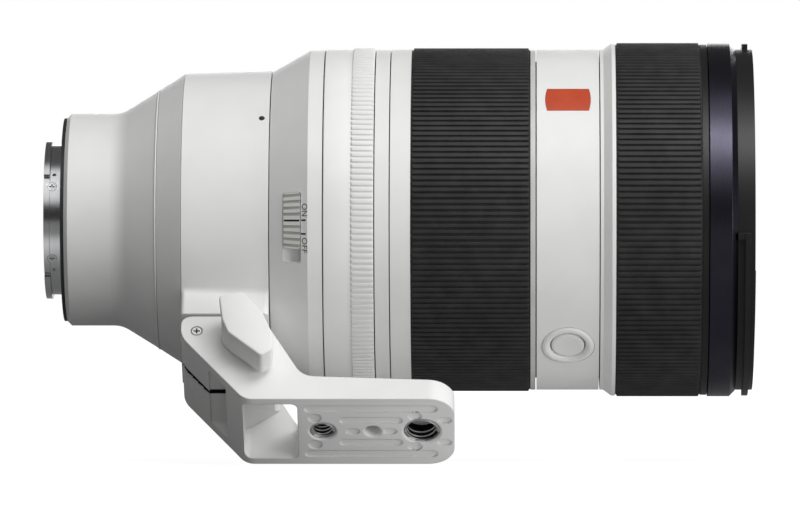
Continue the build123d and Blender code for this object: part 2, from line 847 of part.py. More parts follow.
def make_button_bezels():
    # Each bezel is a ring sunk in the band, with its rim standing proud
    bezels = []
    for angle in button_angles:
        rim = radial_pin(band_middle, angle, button_floor, ring_radius + bezel_proud, bezel_radius)
        rim -= radial_pin(band_middle, angle, button_floor - 1, ring_radius + 2, bezel_inner)
        bezels.append(fillet(outermost_edges(rim), bezel_round))
    return group(bezels)


def make_button(angle):
    top = ring_radius - button_sink
    button = radial_pin(band_middle, angle, top - button_cap, top, button_radius)
    return button + radial_pin(band_middle, angle, top - button_height, top - button_cap, button_stem)


def make_focus_ring():
    back = x_focus + seam / 2
    floor = focus_radius - grip_thickness - seat_gap
    return turned((back, ring_bore), (x_focus_trim, ring_bore), (x_focus_trim, floor), (x_focus_grip, floor),
                  (x_focus_grip, focus_edge_radius), (x_focus_grip - focus_edge_flat, focus_edge_radius),
                  (back + focus_edge_rise, ring_radius), (back, ring_radius))


def make_focus_grip():
    return make_grip(x_focus_grip, x_focus_trim, focus_radius)


def make_focus_trim_ring():
    return tube(x_focus_trim, x_accent - seam / 2, ring_bore, focus_trim_radius)


def make_accent_ring():
    back = x_accent + seam / 2
    return turned((back, fixed_ring_bore), (x_hood, fixed_ring_bore), (x_hood, focus_radius - accent_chamfer),
                  (x_hood - accent_chamfer, focus_radius), (back, focus_radius))


def make_hood_bayonet_ring():
    # The filter thread inside, the trim ring's seat behind it, and the hood's two bayonet rails outside
    seat_end = x_hood + trim_flange + trim_seat_play
    ring = turned((x_hood, trim_seat_radius), (seat_end, trim_seat_radius), (seat_end, filter_radius),
                  (x_front, filter_radius), (x_front, hood_radius), (x_hood, hood_radius))
    start = x_front - rail_inset - rail_width
    for angle in rail_starts:
        ring += sector(start, start + rail_width, hood_radius - 0.5, rail_radius, angle, angle + rail_arc)
        stop = angle + rail_arc
        ring += sector(x_hood, start + rail_width, hood_radius - 0.5, rail_radius - rail_stop_step,
                       stop - rail_stop_arc, stop)
    return ring


# Inner tubes and the zoom mechanism

def make_main_tube():
    end = x_hood - seam / 2
    back = x_switch + neck_inset
    step = x_switch_flat + seam
    body = turned((back, neck_bore_front), (back, main_tube_neck), (step, main_tube_neck),
                  (step, main_tube_radius), (end, main_tube_radius), (end, main_tube_bore),
                  (step + tube_step, main_tube_bore), (step + tube_step, neck_bore_front))
    half = degrees((key_length / 2 + slot_play) / main_tube_bore)
    body -= sector(key_x - key_width / 2 - slot_play, key_x + key_width / 2 + slot_play, main_tube_bore - 1,
                   main_tube_radius + 1, key_angle - half - zoom_turn, key_angle + half)
    return body


neck_bore_front = sleeve_radius + seat_gap


def cam_slot(x, travel, turn):
    # A helical slot through the cam barrel, for a follower that moves by travel over the zoom ring's turn
    reach = follower_radius + slot_play
    length = abs(travel) + 2 * reach
    low = min(x, x + travel) - reach
    pitch = zoom_turn / travel
    slope = abs(1 / (radians(pitch) * cam_outer))
    half_width = reach * (1 + slope ** 2) ** 0.5 / slope
    middle = (cam_inner + cam_outer) / 2 - 0.5
    section = Plane(origin=(low, 0, 0), x_dir=(0, 1, 0), z_dir=(1, 0, 0)) * Pos(-middle, 0) * Rectangle(
        4 * cam_wall, 2 * half_width)
    section = Rot(X=-(turn + pitch * (low - x))) * section
    return Solid.extrude_linear_with_rotation(section.face(), (low, 0, 0), (length, 0, 0), -pitch * length)


follower_turns = [360 / follower_count * n + 30 for n in range(follower_count)]


def make_cam_barrel():
    barrel = tube(cam_start, cam_start + cam_length, cam_inner, cam_outer)
    for turn in follower_turns:
        barrel -= cam_slot(variator_x, variator_travel, turn)
        barrel -= cam_slot(compensator_x, compensator_travel, turn)
    return barrel - drive_key(seat_gap)


def make_guide_tube():
    # The fixed tube whose straight slots keep the zoom carriers from turning
    end = front_cell_start - hidden_gap
    rim = main_tube_bore - seat_gap
    body = tube(guide_start, end, guide_bore, guide_outer)
    body += tube(guide_start, guide_start + guide_flange, guide_bore, rim)
    body += tube(end - guide_flange, end, guide_bore, rim)
    reach = follower_radius + slot_play
    for x, travel in ((variator_x, variator_travel), (compensator_x, compensator_travel)):
        slot = Box(abs(travel) + 2 * reach, 4 * guide_wall, 2 * reach)
        for turn in follower_turns:
            body -= Rot(X=-turn) * Pos(x + travel / 2, -guide_bore, 0) * slot
    return body


carrier_outer = guide_bore - running_gap


def make_carrier(x):
    # A zoom group's frame: a rim that slides in the guide tube and a web that holds the lens
    back, front = x - carrier_length / 2, x + carrier_length / 2
    rim_inner = carrier_outer - carrier_wall
    bore = carrier_lens_radius + seat_gap
    carrier = turned((back, rim_inner), (x - carrier_web / 2, rim_inner), (x - carrier_web / 2, bore + 1.6),
                     (back + 1, bore + 1.6), (back + 1, bore), (front - 1, bore), (front - 1, bore + 1.6),
                     (x + carrier_web / 2, bore + 1.6), (x + carrier_web / 2, rim_inner), (front, rim_inner),
                     (front, carrier_outer), (back, carrier_outer))
    for turn in follower_turns:
        carrier -= radial_pin(x, turn, rim_inner - 1, carrier_outer + 1, follower_radius + seat_gap)
    reach = cam_outer - 2 * running_gap
    pins = [radial_pin(x, turn, rim_inner, reach, follower_radius) for turn in follower_turns]
    return group([carrier] + pins)


def make_carrier_lens(x, bulge):
    return lens(x - carrier_lens_edge / 2, carrier_lens_radius, carrier_lens_edge, bulge, -bulge)


# Front group

def make_front_cell():
    return tube(front_cell_start, front_cell_end, front_lens_radius + seat_gap, main_tube_bore - seat_gap)


def make_front_lenses():
    front = lens(front_lens_place, front_lens_radius, front_lens_edge, front_lens_bulge, front_lens_hollow)
    second = lens(second_lens_place, front_lens_radius, second_lens_edge, front_lens_hollow,
                  -front_lens_hollow)
    return group([front, second])


def make_front_trim_ring():
    # The dark cone between the front lens and the filter thread
    seat = x_hood
    front = seat + trim_flange
    return turned((front_cell_end, front_lens_radius + seat_gap), (front_cell_end, main_tube_bore - seat_gap),
                  (seat, main_tube_bore - seat_gap), (seat, trim_seat_radius - running_gap),
                  (front, trim_seat_radius - running_gap), (front, filter_radius - trim_flange))


# Iris unit, behind the zoom groups

iris_outer = neck_bore_front - seat_gap
iris_inside = iris_outer - iris_wall


def make_iris_housing():
    floor = iris_back + iris_floor
    return turned((iris_back, iris_bore), (floor, iris_bore), (floor, iris_inside),
                  (iris_back + iris_length, iris_inside), (iris_back + iris_length, iris_outer),
                  (iris_back, iris_outer))


def make_iris_blades():
    # The leaves at full opening, stacked in turn in front of the housing's floor
    blades = []
    for n in range(iris_blade_count):
        start = iris_back + iris_floor + 0.2 + n * iris_blade_pitch
        turn = n * 360 / iris_blade_count
        blades.append(sector(start, start + iris_blade_thickness, iris_bore + 1.5, iris_inside - 0.5,
                             turn, turn + iris_blade_arc))
    return group(blades)


def make_iris_drive_ring():
    start = iris_back + iris_ring_place
    return tube(start, start + iris_ring_thickness, iris_bore + 1, iris_inside - running_gap)


# Focus unit, inside the collar's sleeve

focus_outer = sleeve_bore - seat_gap
focus_unit_length = 2 * (focus_plate_thickness + focus_end_room) + focus_carrier_thickness + focus_travel
focus_x = focus_unit_start + focus_plate_thickness + focus_end_room
focus_front = focus_unit_start + focus_unit_length
focus_rods = [360 / focus_rod_count * n for n in range(focus_rod_count)]


def focus_rod_shafts(radius):
    length = focus_unit_length - focus_plate_thickness
    middle = focus_unit_start + focus_unit_length / 2
    rod = Pos(middle, -focus_rod_circle, 0) * Rot(Y=90) * Cylinder(radius, length)
    return [Rot(X=-turn) * rod for turn in focus_rods]


def make_focus_frame():
    # Two end plates and the rods between them, which the focus group slides on
    pieces = []
    for start in (focus_unit_start, focus_front - focus_plate_thickness):
        plate = tube(start, start + focus_plate_thickness, focus_lens_radius + 2, focus_outer)
        pieces.append(plate - focus_rod_shafts(focus_rod_radius + seat_gap))
    return group(pieces + focus_rod_shafts(focus_rod_radius))


def make_focus_carrier():
    carrier = tube(focus_x, focus_x + focus_carrier_thickness, focus_lens_radius + seat_gap,
                   focus_carrier_radius)
    return carrier - focus_rod_shafts(focus_rod_radius + running_gap)


def make_focus_motors():
    start, end = focus_unit_start + focus_plate_thickness, focus_front - focus_plate_thickness
    return group([sector(start, end, motor_inner, focus_outer, turn - motor_arc / 2, turn + motor_arc / 2)
                  for turn in motor_angles])


def make_focus_lens():
    edge = focus_carrier_thickness - 0.8
    return lens(focus_x + 0.4, focus_lens_radius, edge, focus_lens_bulge, -focus_lens_bulge)


on_collar = Rot(X=-foot_turn)

nodes = {
    "bayonet_mount": make_bayonet_mount(),
    "mount_gasket": make_gasket(),
    "mount_screws": make_mount_screws(),
    "rear_baffle": make_rear_baffle(),
    "contact_block": make_contact_block(),
    "contact_pins": make_contact_pins(),
    "rear_barrel": make_rear_barrel(),
    "shoulder_cone": make_shoulder_cone(),
    "main_board": make_main_board(),
    "rear_lens_cell": make_rear_cell(),
    "rear_lenses": make_rear_lenses(),
    "bearing_sleeve": make_bearing_sleeve(),
    "tripod_collar": on_collar * make_tripod_collar(),
    "collar_lock_knob": on_collar * make_lock_knob(),
    "collar_lock_screw": on_collar * make_lock_screw(),
    "foot": on_collar * make_foot(),
    "quarter_inch_insert": on_collar * make_insert(quarter_x, quarter_radius),
    "three_eighths_insert": on_collar * make_insert(three_eighths_x, three_eighths_radius),
    "foot_stop_screw": on_collar * make_stop_screw(),
    "foot_lever": on_collar * make_foot_lever(),
    "foot_clamp_screw": on_collar * make_clamp_screw(),
    "switch_barrel": make_switch_barrel(),
    "click_switch": make_slider(click_angle),
    "aperture_ring": make_aperture_ring(),
    "spacer_ring": make_spacer_ring(),
    "zoom_ring": make_zoom_ring(),
    "zoom_grip": make_zoom_grip(),
    "zoom_trim_ring": make_zoom_trim_ring(),
    "zoom_drive_key": drive_key(0),
    "cam_barrel": make_cam_barrel(),
    "guide_tube": make_guide_tube(),
    "variator_carrier": make_carrier(variator_x),
    "variator_lens": make_carrier_lens(variator_x, -carrier_lens_bulge),
    "compensator_carrier": make_carrier(compensator_x),
    "compensator_lens": make_carrier_lens(compensator_x, carrier_lens_bulge),
    "main_tube": make_main_tube(),
    "front_band": make_front_band(),
    "button_bezels": make_button_bezels(),
    "band_inlay": make_badge_shape(0, 0),
    "focus_ring": make_focus_ring(),
    "focus_grip": make_focus_grip(),
    "focus_trim_ring": make_focus_trim_ring(),
    "accent_ring": make_accent_ring(),
    "hood_bayonet_ring": make_hood_bayonet_ring(),
    "front_trim_ring": make_front_trim_ring(),
    "front_cell": make_front_cell(),
    "front_lenses": make_front_lenses(),
    "iris_housing": make_iris_housing(),
    "iris_blades": make_iris_blades(),
    "iris_drive_ring": make_iris_drive_ring(),
    "focus_frame": make_focus_frame(),
    "focus_motors": make_focus_motors(),
    "focus_carrier": make_focus_carrier(),
    "focus_lens": make_focus_lens(),
}
for name, angle in zip(("iris_lock_switch", "focus_mode_switch", "focus_range_switch"), other_switch_angles):
    nodes[name] = make_slider(angle)
for number, angle in enumerate(button_angles, start=1):
    nodes[f"focus_hold_button_{number}"] = make_button(angle)

os.makedirs("parts", exist_ok=True)
for name, node in nodes.items():
    export_step(node, f"parts/{name}.step")
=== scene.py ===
import json
from math import atan2, cos, degrees, pi, radians, sin

import bmesh
import bpy
from mathutils import Matrix, Vector
from mathutils.bvhtree import BVHTree

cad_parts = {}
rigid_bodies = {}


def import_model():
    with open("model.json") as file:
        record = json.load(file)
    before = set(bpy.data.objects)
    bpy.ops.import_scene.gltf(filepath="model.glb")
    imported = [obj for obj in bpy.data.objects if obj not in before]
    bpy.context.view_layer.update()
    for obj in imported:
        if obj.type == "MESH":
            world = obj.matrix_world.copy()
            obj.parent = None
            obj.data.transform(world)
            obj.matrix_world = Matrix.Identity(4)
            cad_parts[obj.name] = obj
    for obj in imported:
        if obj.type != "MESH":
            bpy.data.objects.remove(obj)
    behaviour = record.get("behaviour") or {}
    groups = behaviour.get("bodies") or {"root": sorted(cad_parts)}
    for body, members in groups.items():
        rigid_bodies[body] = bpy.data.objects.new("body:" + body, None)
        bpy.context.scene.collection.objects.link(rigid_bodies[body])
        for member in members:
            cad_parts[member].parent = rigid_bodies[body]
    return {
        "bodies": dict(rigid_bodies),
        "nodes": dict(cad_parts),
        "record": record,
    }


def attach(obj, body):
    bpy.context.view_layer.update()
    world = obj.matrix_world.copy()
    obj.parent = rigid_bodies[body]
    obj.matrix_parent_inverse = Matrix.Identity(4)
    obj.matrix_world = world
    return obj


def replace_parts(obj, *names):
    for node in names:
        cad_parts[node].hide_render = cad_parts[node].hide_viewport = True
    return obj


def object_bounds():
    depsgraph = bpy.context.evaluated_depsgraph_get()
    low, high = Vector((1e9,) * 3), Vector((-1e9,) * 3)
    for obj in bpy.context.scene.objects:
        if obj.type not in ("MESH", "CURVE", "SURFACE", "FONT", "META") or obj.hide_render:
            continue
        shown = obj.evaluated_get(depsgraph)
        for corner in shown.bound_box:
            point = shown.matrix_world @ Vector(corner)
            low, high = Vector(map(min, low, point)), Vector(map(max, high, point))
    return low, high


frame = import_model()
nodes = frame["nodes"]
kept = set(nodes.values()) | set(frame["bodies"].values())
for leftover in [o for o in bpy.data.objects if o not in kept]:
    bpy.data.objects.remove(leftover)
cadBox = [list(corner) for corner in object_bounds()]
print("frame loaded:", len(nodes), "nodes")

# X is the optical axis, mount to front. An angle round it starts at -Y, the side the photograph shows,
# and grows towards +Z. Sizes are in millimetres and turned to metres where a mesh is made.
mm = 0.001


def linearColour(hexCode):
    # sRGB hex to the linear colour a shader takes
    parts = [int(hexCode[i:i + 2], 16) / 255 for i in (1, 3, 5)]
    return [p / 12.92 if p <= 0.04045 else ((p + 0.055) / 1.055) ** 2.4 for p in parts] + [1.0]


def addNode(tree, kind, inputs=None, **settings):
    # adds one node, sets its properties, and fills or links its inputs by name or number
    node = tree.nodes.new(kind)
    for name, value in settings.items():
        setattr(node, name, value)
    for socket, value in (inputs or {}).items():
        if isinstance(value, bpy.types.NodeSocket):
            tree.links.new(value, node.inputs[socket])
        else:
            node.inputs[socket].default_value = value
    return node


def compute(tree, operation, *values):
    # the result of one math node
    return addNode(tree, "ShaderNodeMath", dict(enumerate(values)), operation=operation).outputs[0]


def vectorMath(tree, operation, *values):
    # the result of one vector math node
    result = "Value" if operation in ("LENGTH", "DOT_PRODUCT") else "Vector"
    return addNode(tree, "ShaderNodeVectorMath", dict(enumerate(values)), operation=operation).outputs[result]


def spread(tree, value, low, high, fromLow=0.3, fromHigh=0.7):
    # goes evenly from low to high while the value goes from fromLow to fromHigh
    return addNode(tree, "ShaderNodeMapRange", {"Value": value, "From Min": fromLow, "From Max": fromHigh,
                                                "To Min": low, "To Max": high}).outputs[0]


def softStep(tree, value, start, full, low=0.0, high=1.0):
    # goes softly from low to high while the value goes from start to full
    return addNode(tree, "ShaderNodeMapRange", {"Value": value, "From Min": start, "From Max": full,
                                                "To Min": low, "To Max": high},
                   interpolation_type="SMOOTHSTEP").outputs[0]


# Camera, backdrop and light. Places here are in metres, lens and sensor in millimetres.

view = {"place": (0.1353, -2.550, 0.0), "target": (0.0975, 0.0, -0.0100), "lens": 394, "sensor": 36,
        "clip": (0.05, 50)}


def makeCamera():
    data = bpy.data.cameras.new("photoCamera")
    data.lens, data.sensor_width = view["lens"], view["sensor"]
    data.clip_start, data.clip_end = view["clip"]
    camera = bpy.data.objects.new("photoCamera", data)
    camera.location = view["place"]
    aim = Vector(view["target"]) - Vector(view["place"])
    camera.rotation_euler = aim.to_track_quat("-Z", "Y").to_euler()
    bpy.context.scene.collection.objects.link(camera)
    bpy.context.scene.camera = camera


studio = {
    "floorDrop": 0.0003,          # below the lowest corner of the object
    "floorSize": 6.0,
    "floorShade": "#787878",
    "floorGlow": 0.93,            # what the camera sees of the floor without any lamp, where 1 is white
    "roomMatt": (0.12, 0.74),     # what the room gives to matt surfaces, at its mount end and its front end
    "roomEnds": (-0.9, 0.7),      # where those two ends lie, as the cosine from +X
    "roomGloss": 0.10,            # what gloss sees of the room away from the panel and the backdrop
    "roomDark": 0.03,             # the unlit side of the studio, where the camera stands
    "roomDarkEdge": (-0.5, 0.0),  # where that side ends, as the cosine from +Y
    "panelGloss": 0.95,           # the diffusing panel round the key box
    "panelWay": (0.0, -0.57, 0.82),
    "panelEdge": (0.79, 0.94),    # where the panel starts and is full, as the cosine from its middle
    "backdropEdge": (0.94, 0.995),  # where the white backdrop starts and is full, as the cosine from +Y
    "floorGloss": 0.10,           # what gloss sees of the floor besides its own light
    "cardGlow": 6.0,              # a white card that lies below the mount, for gloss alone, times floorGloss
    "cardX": (0.01, -0.01),       # where the card starts and is full
    "cardY": (-0.20, -0.10, -0.02),  # its far edge, its middle and its near edge
    "tableGlow": 0.36,            # light that the lit table gives back under the front end
    "tableGlowX": (0.02, 0.13),   # where that light starts and is full
    # each soft box: place, target, width, height, power
    "keyBox": ((0.50, -0.58, 0.92), (0.10, 0.0, 0.0), 0.9, 0.42, 6.15),
    "lowFrontBox": ((1.20, -0.85, 0.06), (0.10, 0.0, 0.0), 0.9, 0.24, 5.5),
    "backBox": ((0.20, 1.60, 0.30), (0.10, 0.0, 0.0), 1.4, 0.5, 6.0),
}
white = (1, 1, 1, 1)


def seenStraight(tree, rays):
    # 1 for the camera and for what it sees through glass, but not for what glass reflects on the way
    notMirrored = compute(tree, "LESS_THAN", rays.outputs["Glossy Depth"], 0.5)
    through = compute(tree, "MULTIPLY", rays.outputs["Is Transmission Ray"], notMirrored)
    return compute(tree, "MAXIMUM", rays.outputs["Is Camera Ray"], through)


def makeFloor():
    lowest = cadBox[0][2] - studio["floorDrop"]
    half = studio["floorSize"] / 2
    mesh = bpy.data.meshes.new("studioFloor")
    mesh.from_pydata([(-half, -half, lowest), (half, -half, lowest), (half, half, lowest),
                      (-half, half, lowest)], [], [(0, 1, 2, 3)])
    floor = bpy.data.objects.new("studioFloor", mesh)
    bpy.context.scene.collection.objects.link(floor)
    material = bpy.data.materials.new("whiteBackdropPaper")
    material.use_nodes = True
    tree = material.node_tree
    tree.nodes.clear()
    rays = addNode(tree, "ShaderNodeLightPath")
    where = addNode(tree, "ShaderNodeTexCoord").outputs["Object"]
    x, y = addNode(tree, "ShaderNodeSeparateXYZ", {0: where}).outputs[:2]

    def times(first, second, more=0.0):
        return compute(tree, "MULTIPLY_ADD", first, second, more)

    far, middle, near = studio["cardY"]
    card = times(times(softStep(tree, y, far, middle), softStep(tree, y, near, middle)),
                 softStep(tree, x, *studio["cardX"]))
    gloss = times(times(card, studio["cardGlow"], 1.0), studio["floorGloss"])
    level = times(seenStraight(tree, rays), studio["floorGlow"], times(rays.outputs["Is Glossy Ray"], gloss))
    table = softStep(tree, x, *studio["tableGlowX"], 0.0, studio["tableGlow"])
    level = times(rays.outputs["Is Diffuse Ray"], table, level)
    paper = addNode(tree, "ShaderNodeBsdfDiffuse", {"Color": linearColour(studio["floorShade"])})
    glow = addNode(tree, "ShaderNodeEmission", {"Color": white, "Strength": level})
    shown = addNode(tree, "ShaderNodeAddShader", {0: paper.outputs[0], 1: glow.outputs[0]})
    addNode(tree, "ShaderNodeOutputMaterial", {"Surface": shown.outputs[0]})
    mesh.materials.append(material)


def makeRoom():
    # white behind the object for camera, glass and gloss; dim on the camera's side, as in a dark studio
    world = bpy.data.worlds.new("studioRoom")
    bpy.context.scene.world = world
    world.use_nodes = True
    tree = world.node_tree
    tree.nodes.clear()
    rays = addNode(tree, "ShaderNodeLightPath")
    way = addNode(tree, "ShaderNodeTexCoord").outputs["Generated"]
    x, y = addNode(tree, "ShaderNodeSeparateXYZ", {0: way}).outputs[:2]
    side = softStep(tree, y, *studio["roomDarkEdge"], studio["roomDark"], studio["roomGloss"])
    backdrop = softStep(tree, y, *studio["backdropEdge"], 0.0, 1.0 - studio["roomGloss"])
    nearPanel = vectorMath(tree, "DOT_PRODUCT", way, Vector(studio["panelWay"]).normalized())
    panel = softStep(tree, nearPanel, *studio["panelEdge"], 0.0, studio["panelGloss"])
    gloss = compute(tree, "ADD", compute(tree, "ADD", side, backdrop), panel)
    matt = spread(tree, x, *studio["roomMatt"], *studio["roomEnds"])
    forMatt, forGloss, forCamera = [
        addNode(tree, "ShaderNodeBackground", {"Color": white, "Strength": level}).outputs[0]
        for level in (matt, gloss, 1.0)]
    unseen = addNode(tree, "ShaderNodeMixShader", {0: rays.outputs["Is Glossy Ray"], 1: forMatt, 2: forGloss})
    room = addNode(tree, "ShaderNodeMixShader", {0: seenStraight(tree, rays), 1: unseen.outputs[0],
                                                 2: forCamera})
    addNode(tree, "ShaderNodeOutputWorld", {"Surface": room.outputs[0]})


def makeSoftBox(name):
    place, target, width, height, power = studio[name]
    data = bpy.data.lights.new(name, "AREA")
    data.shape, data.size, data.size_y, data.energy = "RECTANGLE", width, height, power
    lamp = bpy.data.objects.new(name, data)
    lamp.location = place
    lamp.rotation_euler = (Vector(target) - Vector(place)).to_track_quat("-Z", "Y").to_euler()
    bpy.context.scene.collection.objects.link(lamp)


makeCamera()
makeFloor()
makeRoom()
for boxName in ("keyBox", "lowFrontBox", "backBox"):
    makeSoftBox(boxName)
bpy.context.scene.view_settings.view_transform = "Standard"
print("camera, floor and light ready")


# Materials, one for each real finish

def startMaterial(name, **sockets):
    material = bpy.data.materials.new(name)
    material.use_nodes = True
    tree = material.node_tree
    tree.nodes.clear()
    shader = addNode(tree, "ShaderNodeBsdfPrincipled", {k.replace("_", " "): v for k, v in sockets.items()})
    addNode(tree, "ShaderNodeOutputMaterial", {"Surface": shader.outputs[0]})
    place = addNode(tree, "ShaderNodeTexCoord").outputs["Object"]
    return material, tree, shader, place


def grainScale(size):
    # noise scale whose grains measure about size millimetres
    return 1 / (size * mm)


def grain(tree, place, size, detail=2.0, rough=0.5):
    return addNode(tree, "ShaderNodeTexNoise", {"Vector": place, "Scale": grainScale(size), "Detail": detail,
                                                "Roughness": rough}).outputs["Fac"]


def lines(tree, along, pitch):
    # uneven lines across one direction, about a pitch in millimetres apart
    return addNode(tree, "ShaderNodeTexNoise", {"W": along, "Scale": grainScale(pitch), "Detail": 2.0},
                   noise_dimensions="1D").outputs["Fac"]


def axisDistance(tree, parts):
    # how far a place lies from the optical axis
    across = addNode(tree, "ShaderNodeCombineXYZ", {0: 0.0, 1: parts.outputs[1], 2: parts.outputs[2]})
    return vectorMath(tree, "LENGTH", across.outputs[0])


def setColour(tree, shader, factor, dark, light):
    # base colour between two sRGB shades, by a factor from 0 to 1
    mix = addNode(tree, "ShaderNodeMix", {0: factor}, data_type="RGBA")
    mix.inputs[6].default_value = linearColour(dark)
    mix.inputs[7].default_value = linearColour(light)
    tree.links.new(mix.outputs[2], shader.inputs["Base Color"])


def setRoughness(tree, shader, value):
    tree.links.new(value, shader.inputs["Roughness"])


def setBump(tree, shader, height, strength, distance, softEdge=0.0):
    # a bump of that depth in millimetres, over edges rounded by softEdge millimetres
    bump = addNode(tree, "ShaderNodeBump", {"Height": height, "Strength": strength,
                                            "Distance": distance * mm})
    if softEdge:
        edge = addNode(tree, "ShaderNodeBevel", {"Radius": softEdge * mm}, samples=4)
        tree.links.new(edge.outputs[0], bump.inputs["Normal"])
    tree.links.new(bump.outputs[0], shader.inputs["Normal"])


def whiteLacquer(name="whiteHeatShieldLacquer", soft=0.25):
    # two-part polyurethane lacquer sprayed on magnesium: an even, faintly pebbled satin white
    material, tree, shader, place = startMaterial(name, IOR=1.5, Metallic=0.0)
    pebbles = grain(tree, place, 0.30, 3.0, 0.55)
    setColour(tree, shader, spread(tree, grain(tree, place, 18.0), 0, 1), "#ebebea", "#f1f1f0")
    setRoughness(tree, shader, spread(tree, pebbles, 0.40, 0.54))
    setBump(tree, shader, pebbles, 0.35, 0.05, soft)
    return material


def turnedMetal(name, light, dark, rough, pitch=0.12, depth=0.3):
    # metal cut on a lathe: fine rings round the axis, brighter and darker with the tool's pitch
    material, tree, shader, place = startMaterial(name, Metallic=1.0)
    parts = addNode(tree, "ShaderNodeSeparateXYZ", {0: place})
    along = compute(tree, "ADD", axisDistance(tree, parts), parts.outputs[0])
    rings = lines(tree, along, pitch)
    stains = grain(tree, place, 6.0, 3.0)
    setColour(tree, shader, spread(tree, rings, 0, 1), dark, light)
    uneven = compute(tree, "ADD", spread(tree, rings, 0, 0.5), spread(tree, stains, 0, 0.5))
    setRoughness(tree, shader, spread(tree, uneven, rough * 0.8, rough * 1.25, 0, 1))
    setBump(tree, shader, rings, depth, 0.01, 0.12)
    return material


def mouldedPlastic(name, light, dark, rough, grainSize=0.18, depth=0.04, soft=0.15):
    # injection-moulded plastic from a spark-eroded mould: a fine matt grain
    material, tree, shader, place = startMaterial(name, IOR=1.49, Metallic=0.0)
    pores = grain(tree, place, grainSize, 2.0, 0.6)
    setColour(tree, shader, spread(tree, grain(tree, place, 9.0), 0, 1), dark, light)
    setRoughness(tree, shader, spread(tree, pores, rough - 0.05, rough + 0.07))
    setBump(tree, shader, pores, 0.4, depth, soft)
    return material


def gripRubber():
    # moulded nitrile rubber: dark grey rather than black, with a dry bloom in its pores
    material, tree, shader, place = startMaterial("gripRubber", IOR=1.52, Metallic=0.0,
                                                  Specular_IOR_Level=0.35)
    pores = grain(tree, place, 0.22, 3.0, 0.6)
    setColour(tree, shader, spread(tree, grain(tree, place, 5.0, 3.0), 0, 1), "#272727", "#333333")
    setRoughness(tree, shader, spread(tree, pores, 0.52, 0.66))
    setBump(tree, shader, pores, 0.5, 0.03, 0.12)
    return material


def violetAnodised():
    # anodised aluminium dyed violet-black: a satin metal whose highlights stay slightly violet
    material, tree, shader, place = startMaterial("violetAnodisedAluminium", Metallic=1.0)
    parts = addNode(tree, "ShaderNodeSeparateXYZ", {0: place})
    rings = lines(tree, parts.outputs[0], 0.15)
    setColour(tree, shader, spread(tree, grain(tree, place, 12.0), 0, 1), "#403e49", "#484651")
    setRoughness(tree, shader, spread(tree, rings, 0.26, 0.36))
    setBump(tree, shader, rings, 0.15, 0.004, 0.2)
    return material


def screenInk():
    # black ink printed through a screen: matt, with a slightly uneven film; the same black serves as painted
    # shade on the slit's walls and the stop screw
    material, tree, shader, place = startMaterial("blackScreenInkAndPaintedShade", IOR=1.48, Metallic=0.0)
    film = grain(tree, place, 0.12)
    setColour(tree, shader, spread(tree, film, 0, 1), "#17181b", "#222327")
    setRoughness(tree, shader, spread(tree, film, 0.45, 0.6))
    return material


def coatedGlass():
    # polished optical glass with a thin anti-reflection coat, which gives green and violet glints
    material, tree, shader, place = startMaterial("coatedOpticalGlass", IOR=1.62, Roughness=0.0,
                                                  Transmission_Weight=1.0, Thin_Film_Thickness=105.0,
                                                  Thin_Film_IOR=1.38)
    setColour(tree, shader, spread(tree, grain(tree, place, 1.5, 4.0), 0, 1), "#f4f7f4", "#fbfcfd")
    return material


def circuitLacquer():
    # green solder mask over copper tracks, which show as paler lines
    material, tree, shader, place = startMaterial("solderMask", IOR=1.5, Metallic=0.0)
    tracks = addNode(tree, "ShaderNodeTexVoronoi", {"Vector": place, "Scale": grainScale(1.6)},
                     distance="MANHATTAN").outputs["Distance"]
    setColour(tree, shader, spread(tree, tracks, 0, 1, 0.42, 0.5), "#0f4a2c", "#2b7a4b")
    setRoughness(tree, shader, spread(tree, tracks, 0.3, 0.42))
    setBump(tree, shader, tracks, 0.3, 0.03)
    return material


# where the sliders' ridges lie: a cone through that radius at x, and heights above it of groove and crest,
# between which the painted groove shade fades out
switchCone = {"x": 60.5, "radius": 42.9, "slope": 0.571, "groove": 0.12, "crest": 0.42}


def switchPlastic():
    # grey plastic of the sliders, with painted shade: the colour darkens from the crests down into the
    # grooves, and the crests are also smoother
    material, tree, shader, place = startMaterial("greyAcetalShadedGrooves", IOR=1.48, Metallic=0.0)
    parts = addNode(tree, "ShaderNodeSeparateXYZ", {0: place})
    size = switchCone
    cone = compute(tree, "MULTIPLY_ADD", parts.outputs[0], -size["slope"],
                   (size["slope"] * size["x"] - size["radius"]) * mm)
    height = compute(tree, "ADD", axisDistance(tree, parts), cone)
    crest = spread(tree, height, 0, 1, size["groove"] * mm, size["crest"] * mm)
    # painted shade: the base colour darkens from the crests down into the grooves
    setColour(tree, shader, crest, "#c8c9c3", "#f2f2ec")
    setRoughness(tree, shader, spread(tree, crest, 0.55, 0.32, 0, 1))
    setBump(tree, shader, grain(tree, place, 0.25), 0.2, 0.01, 0.12)
    return material


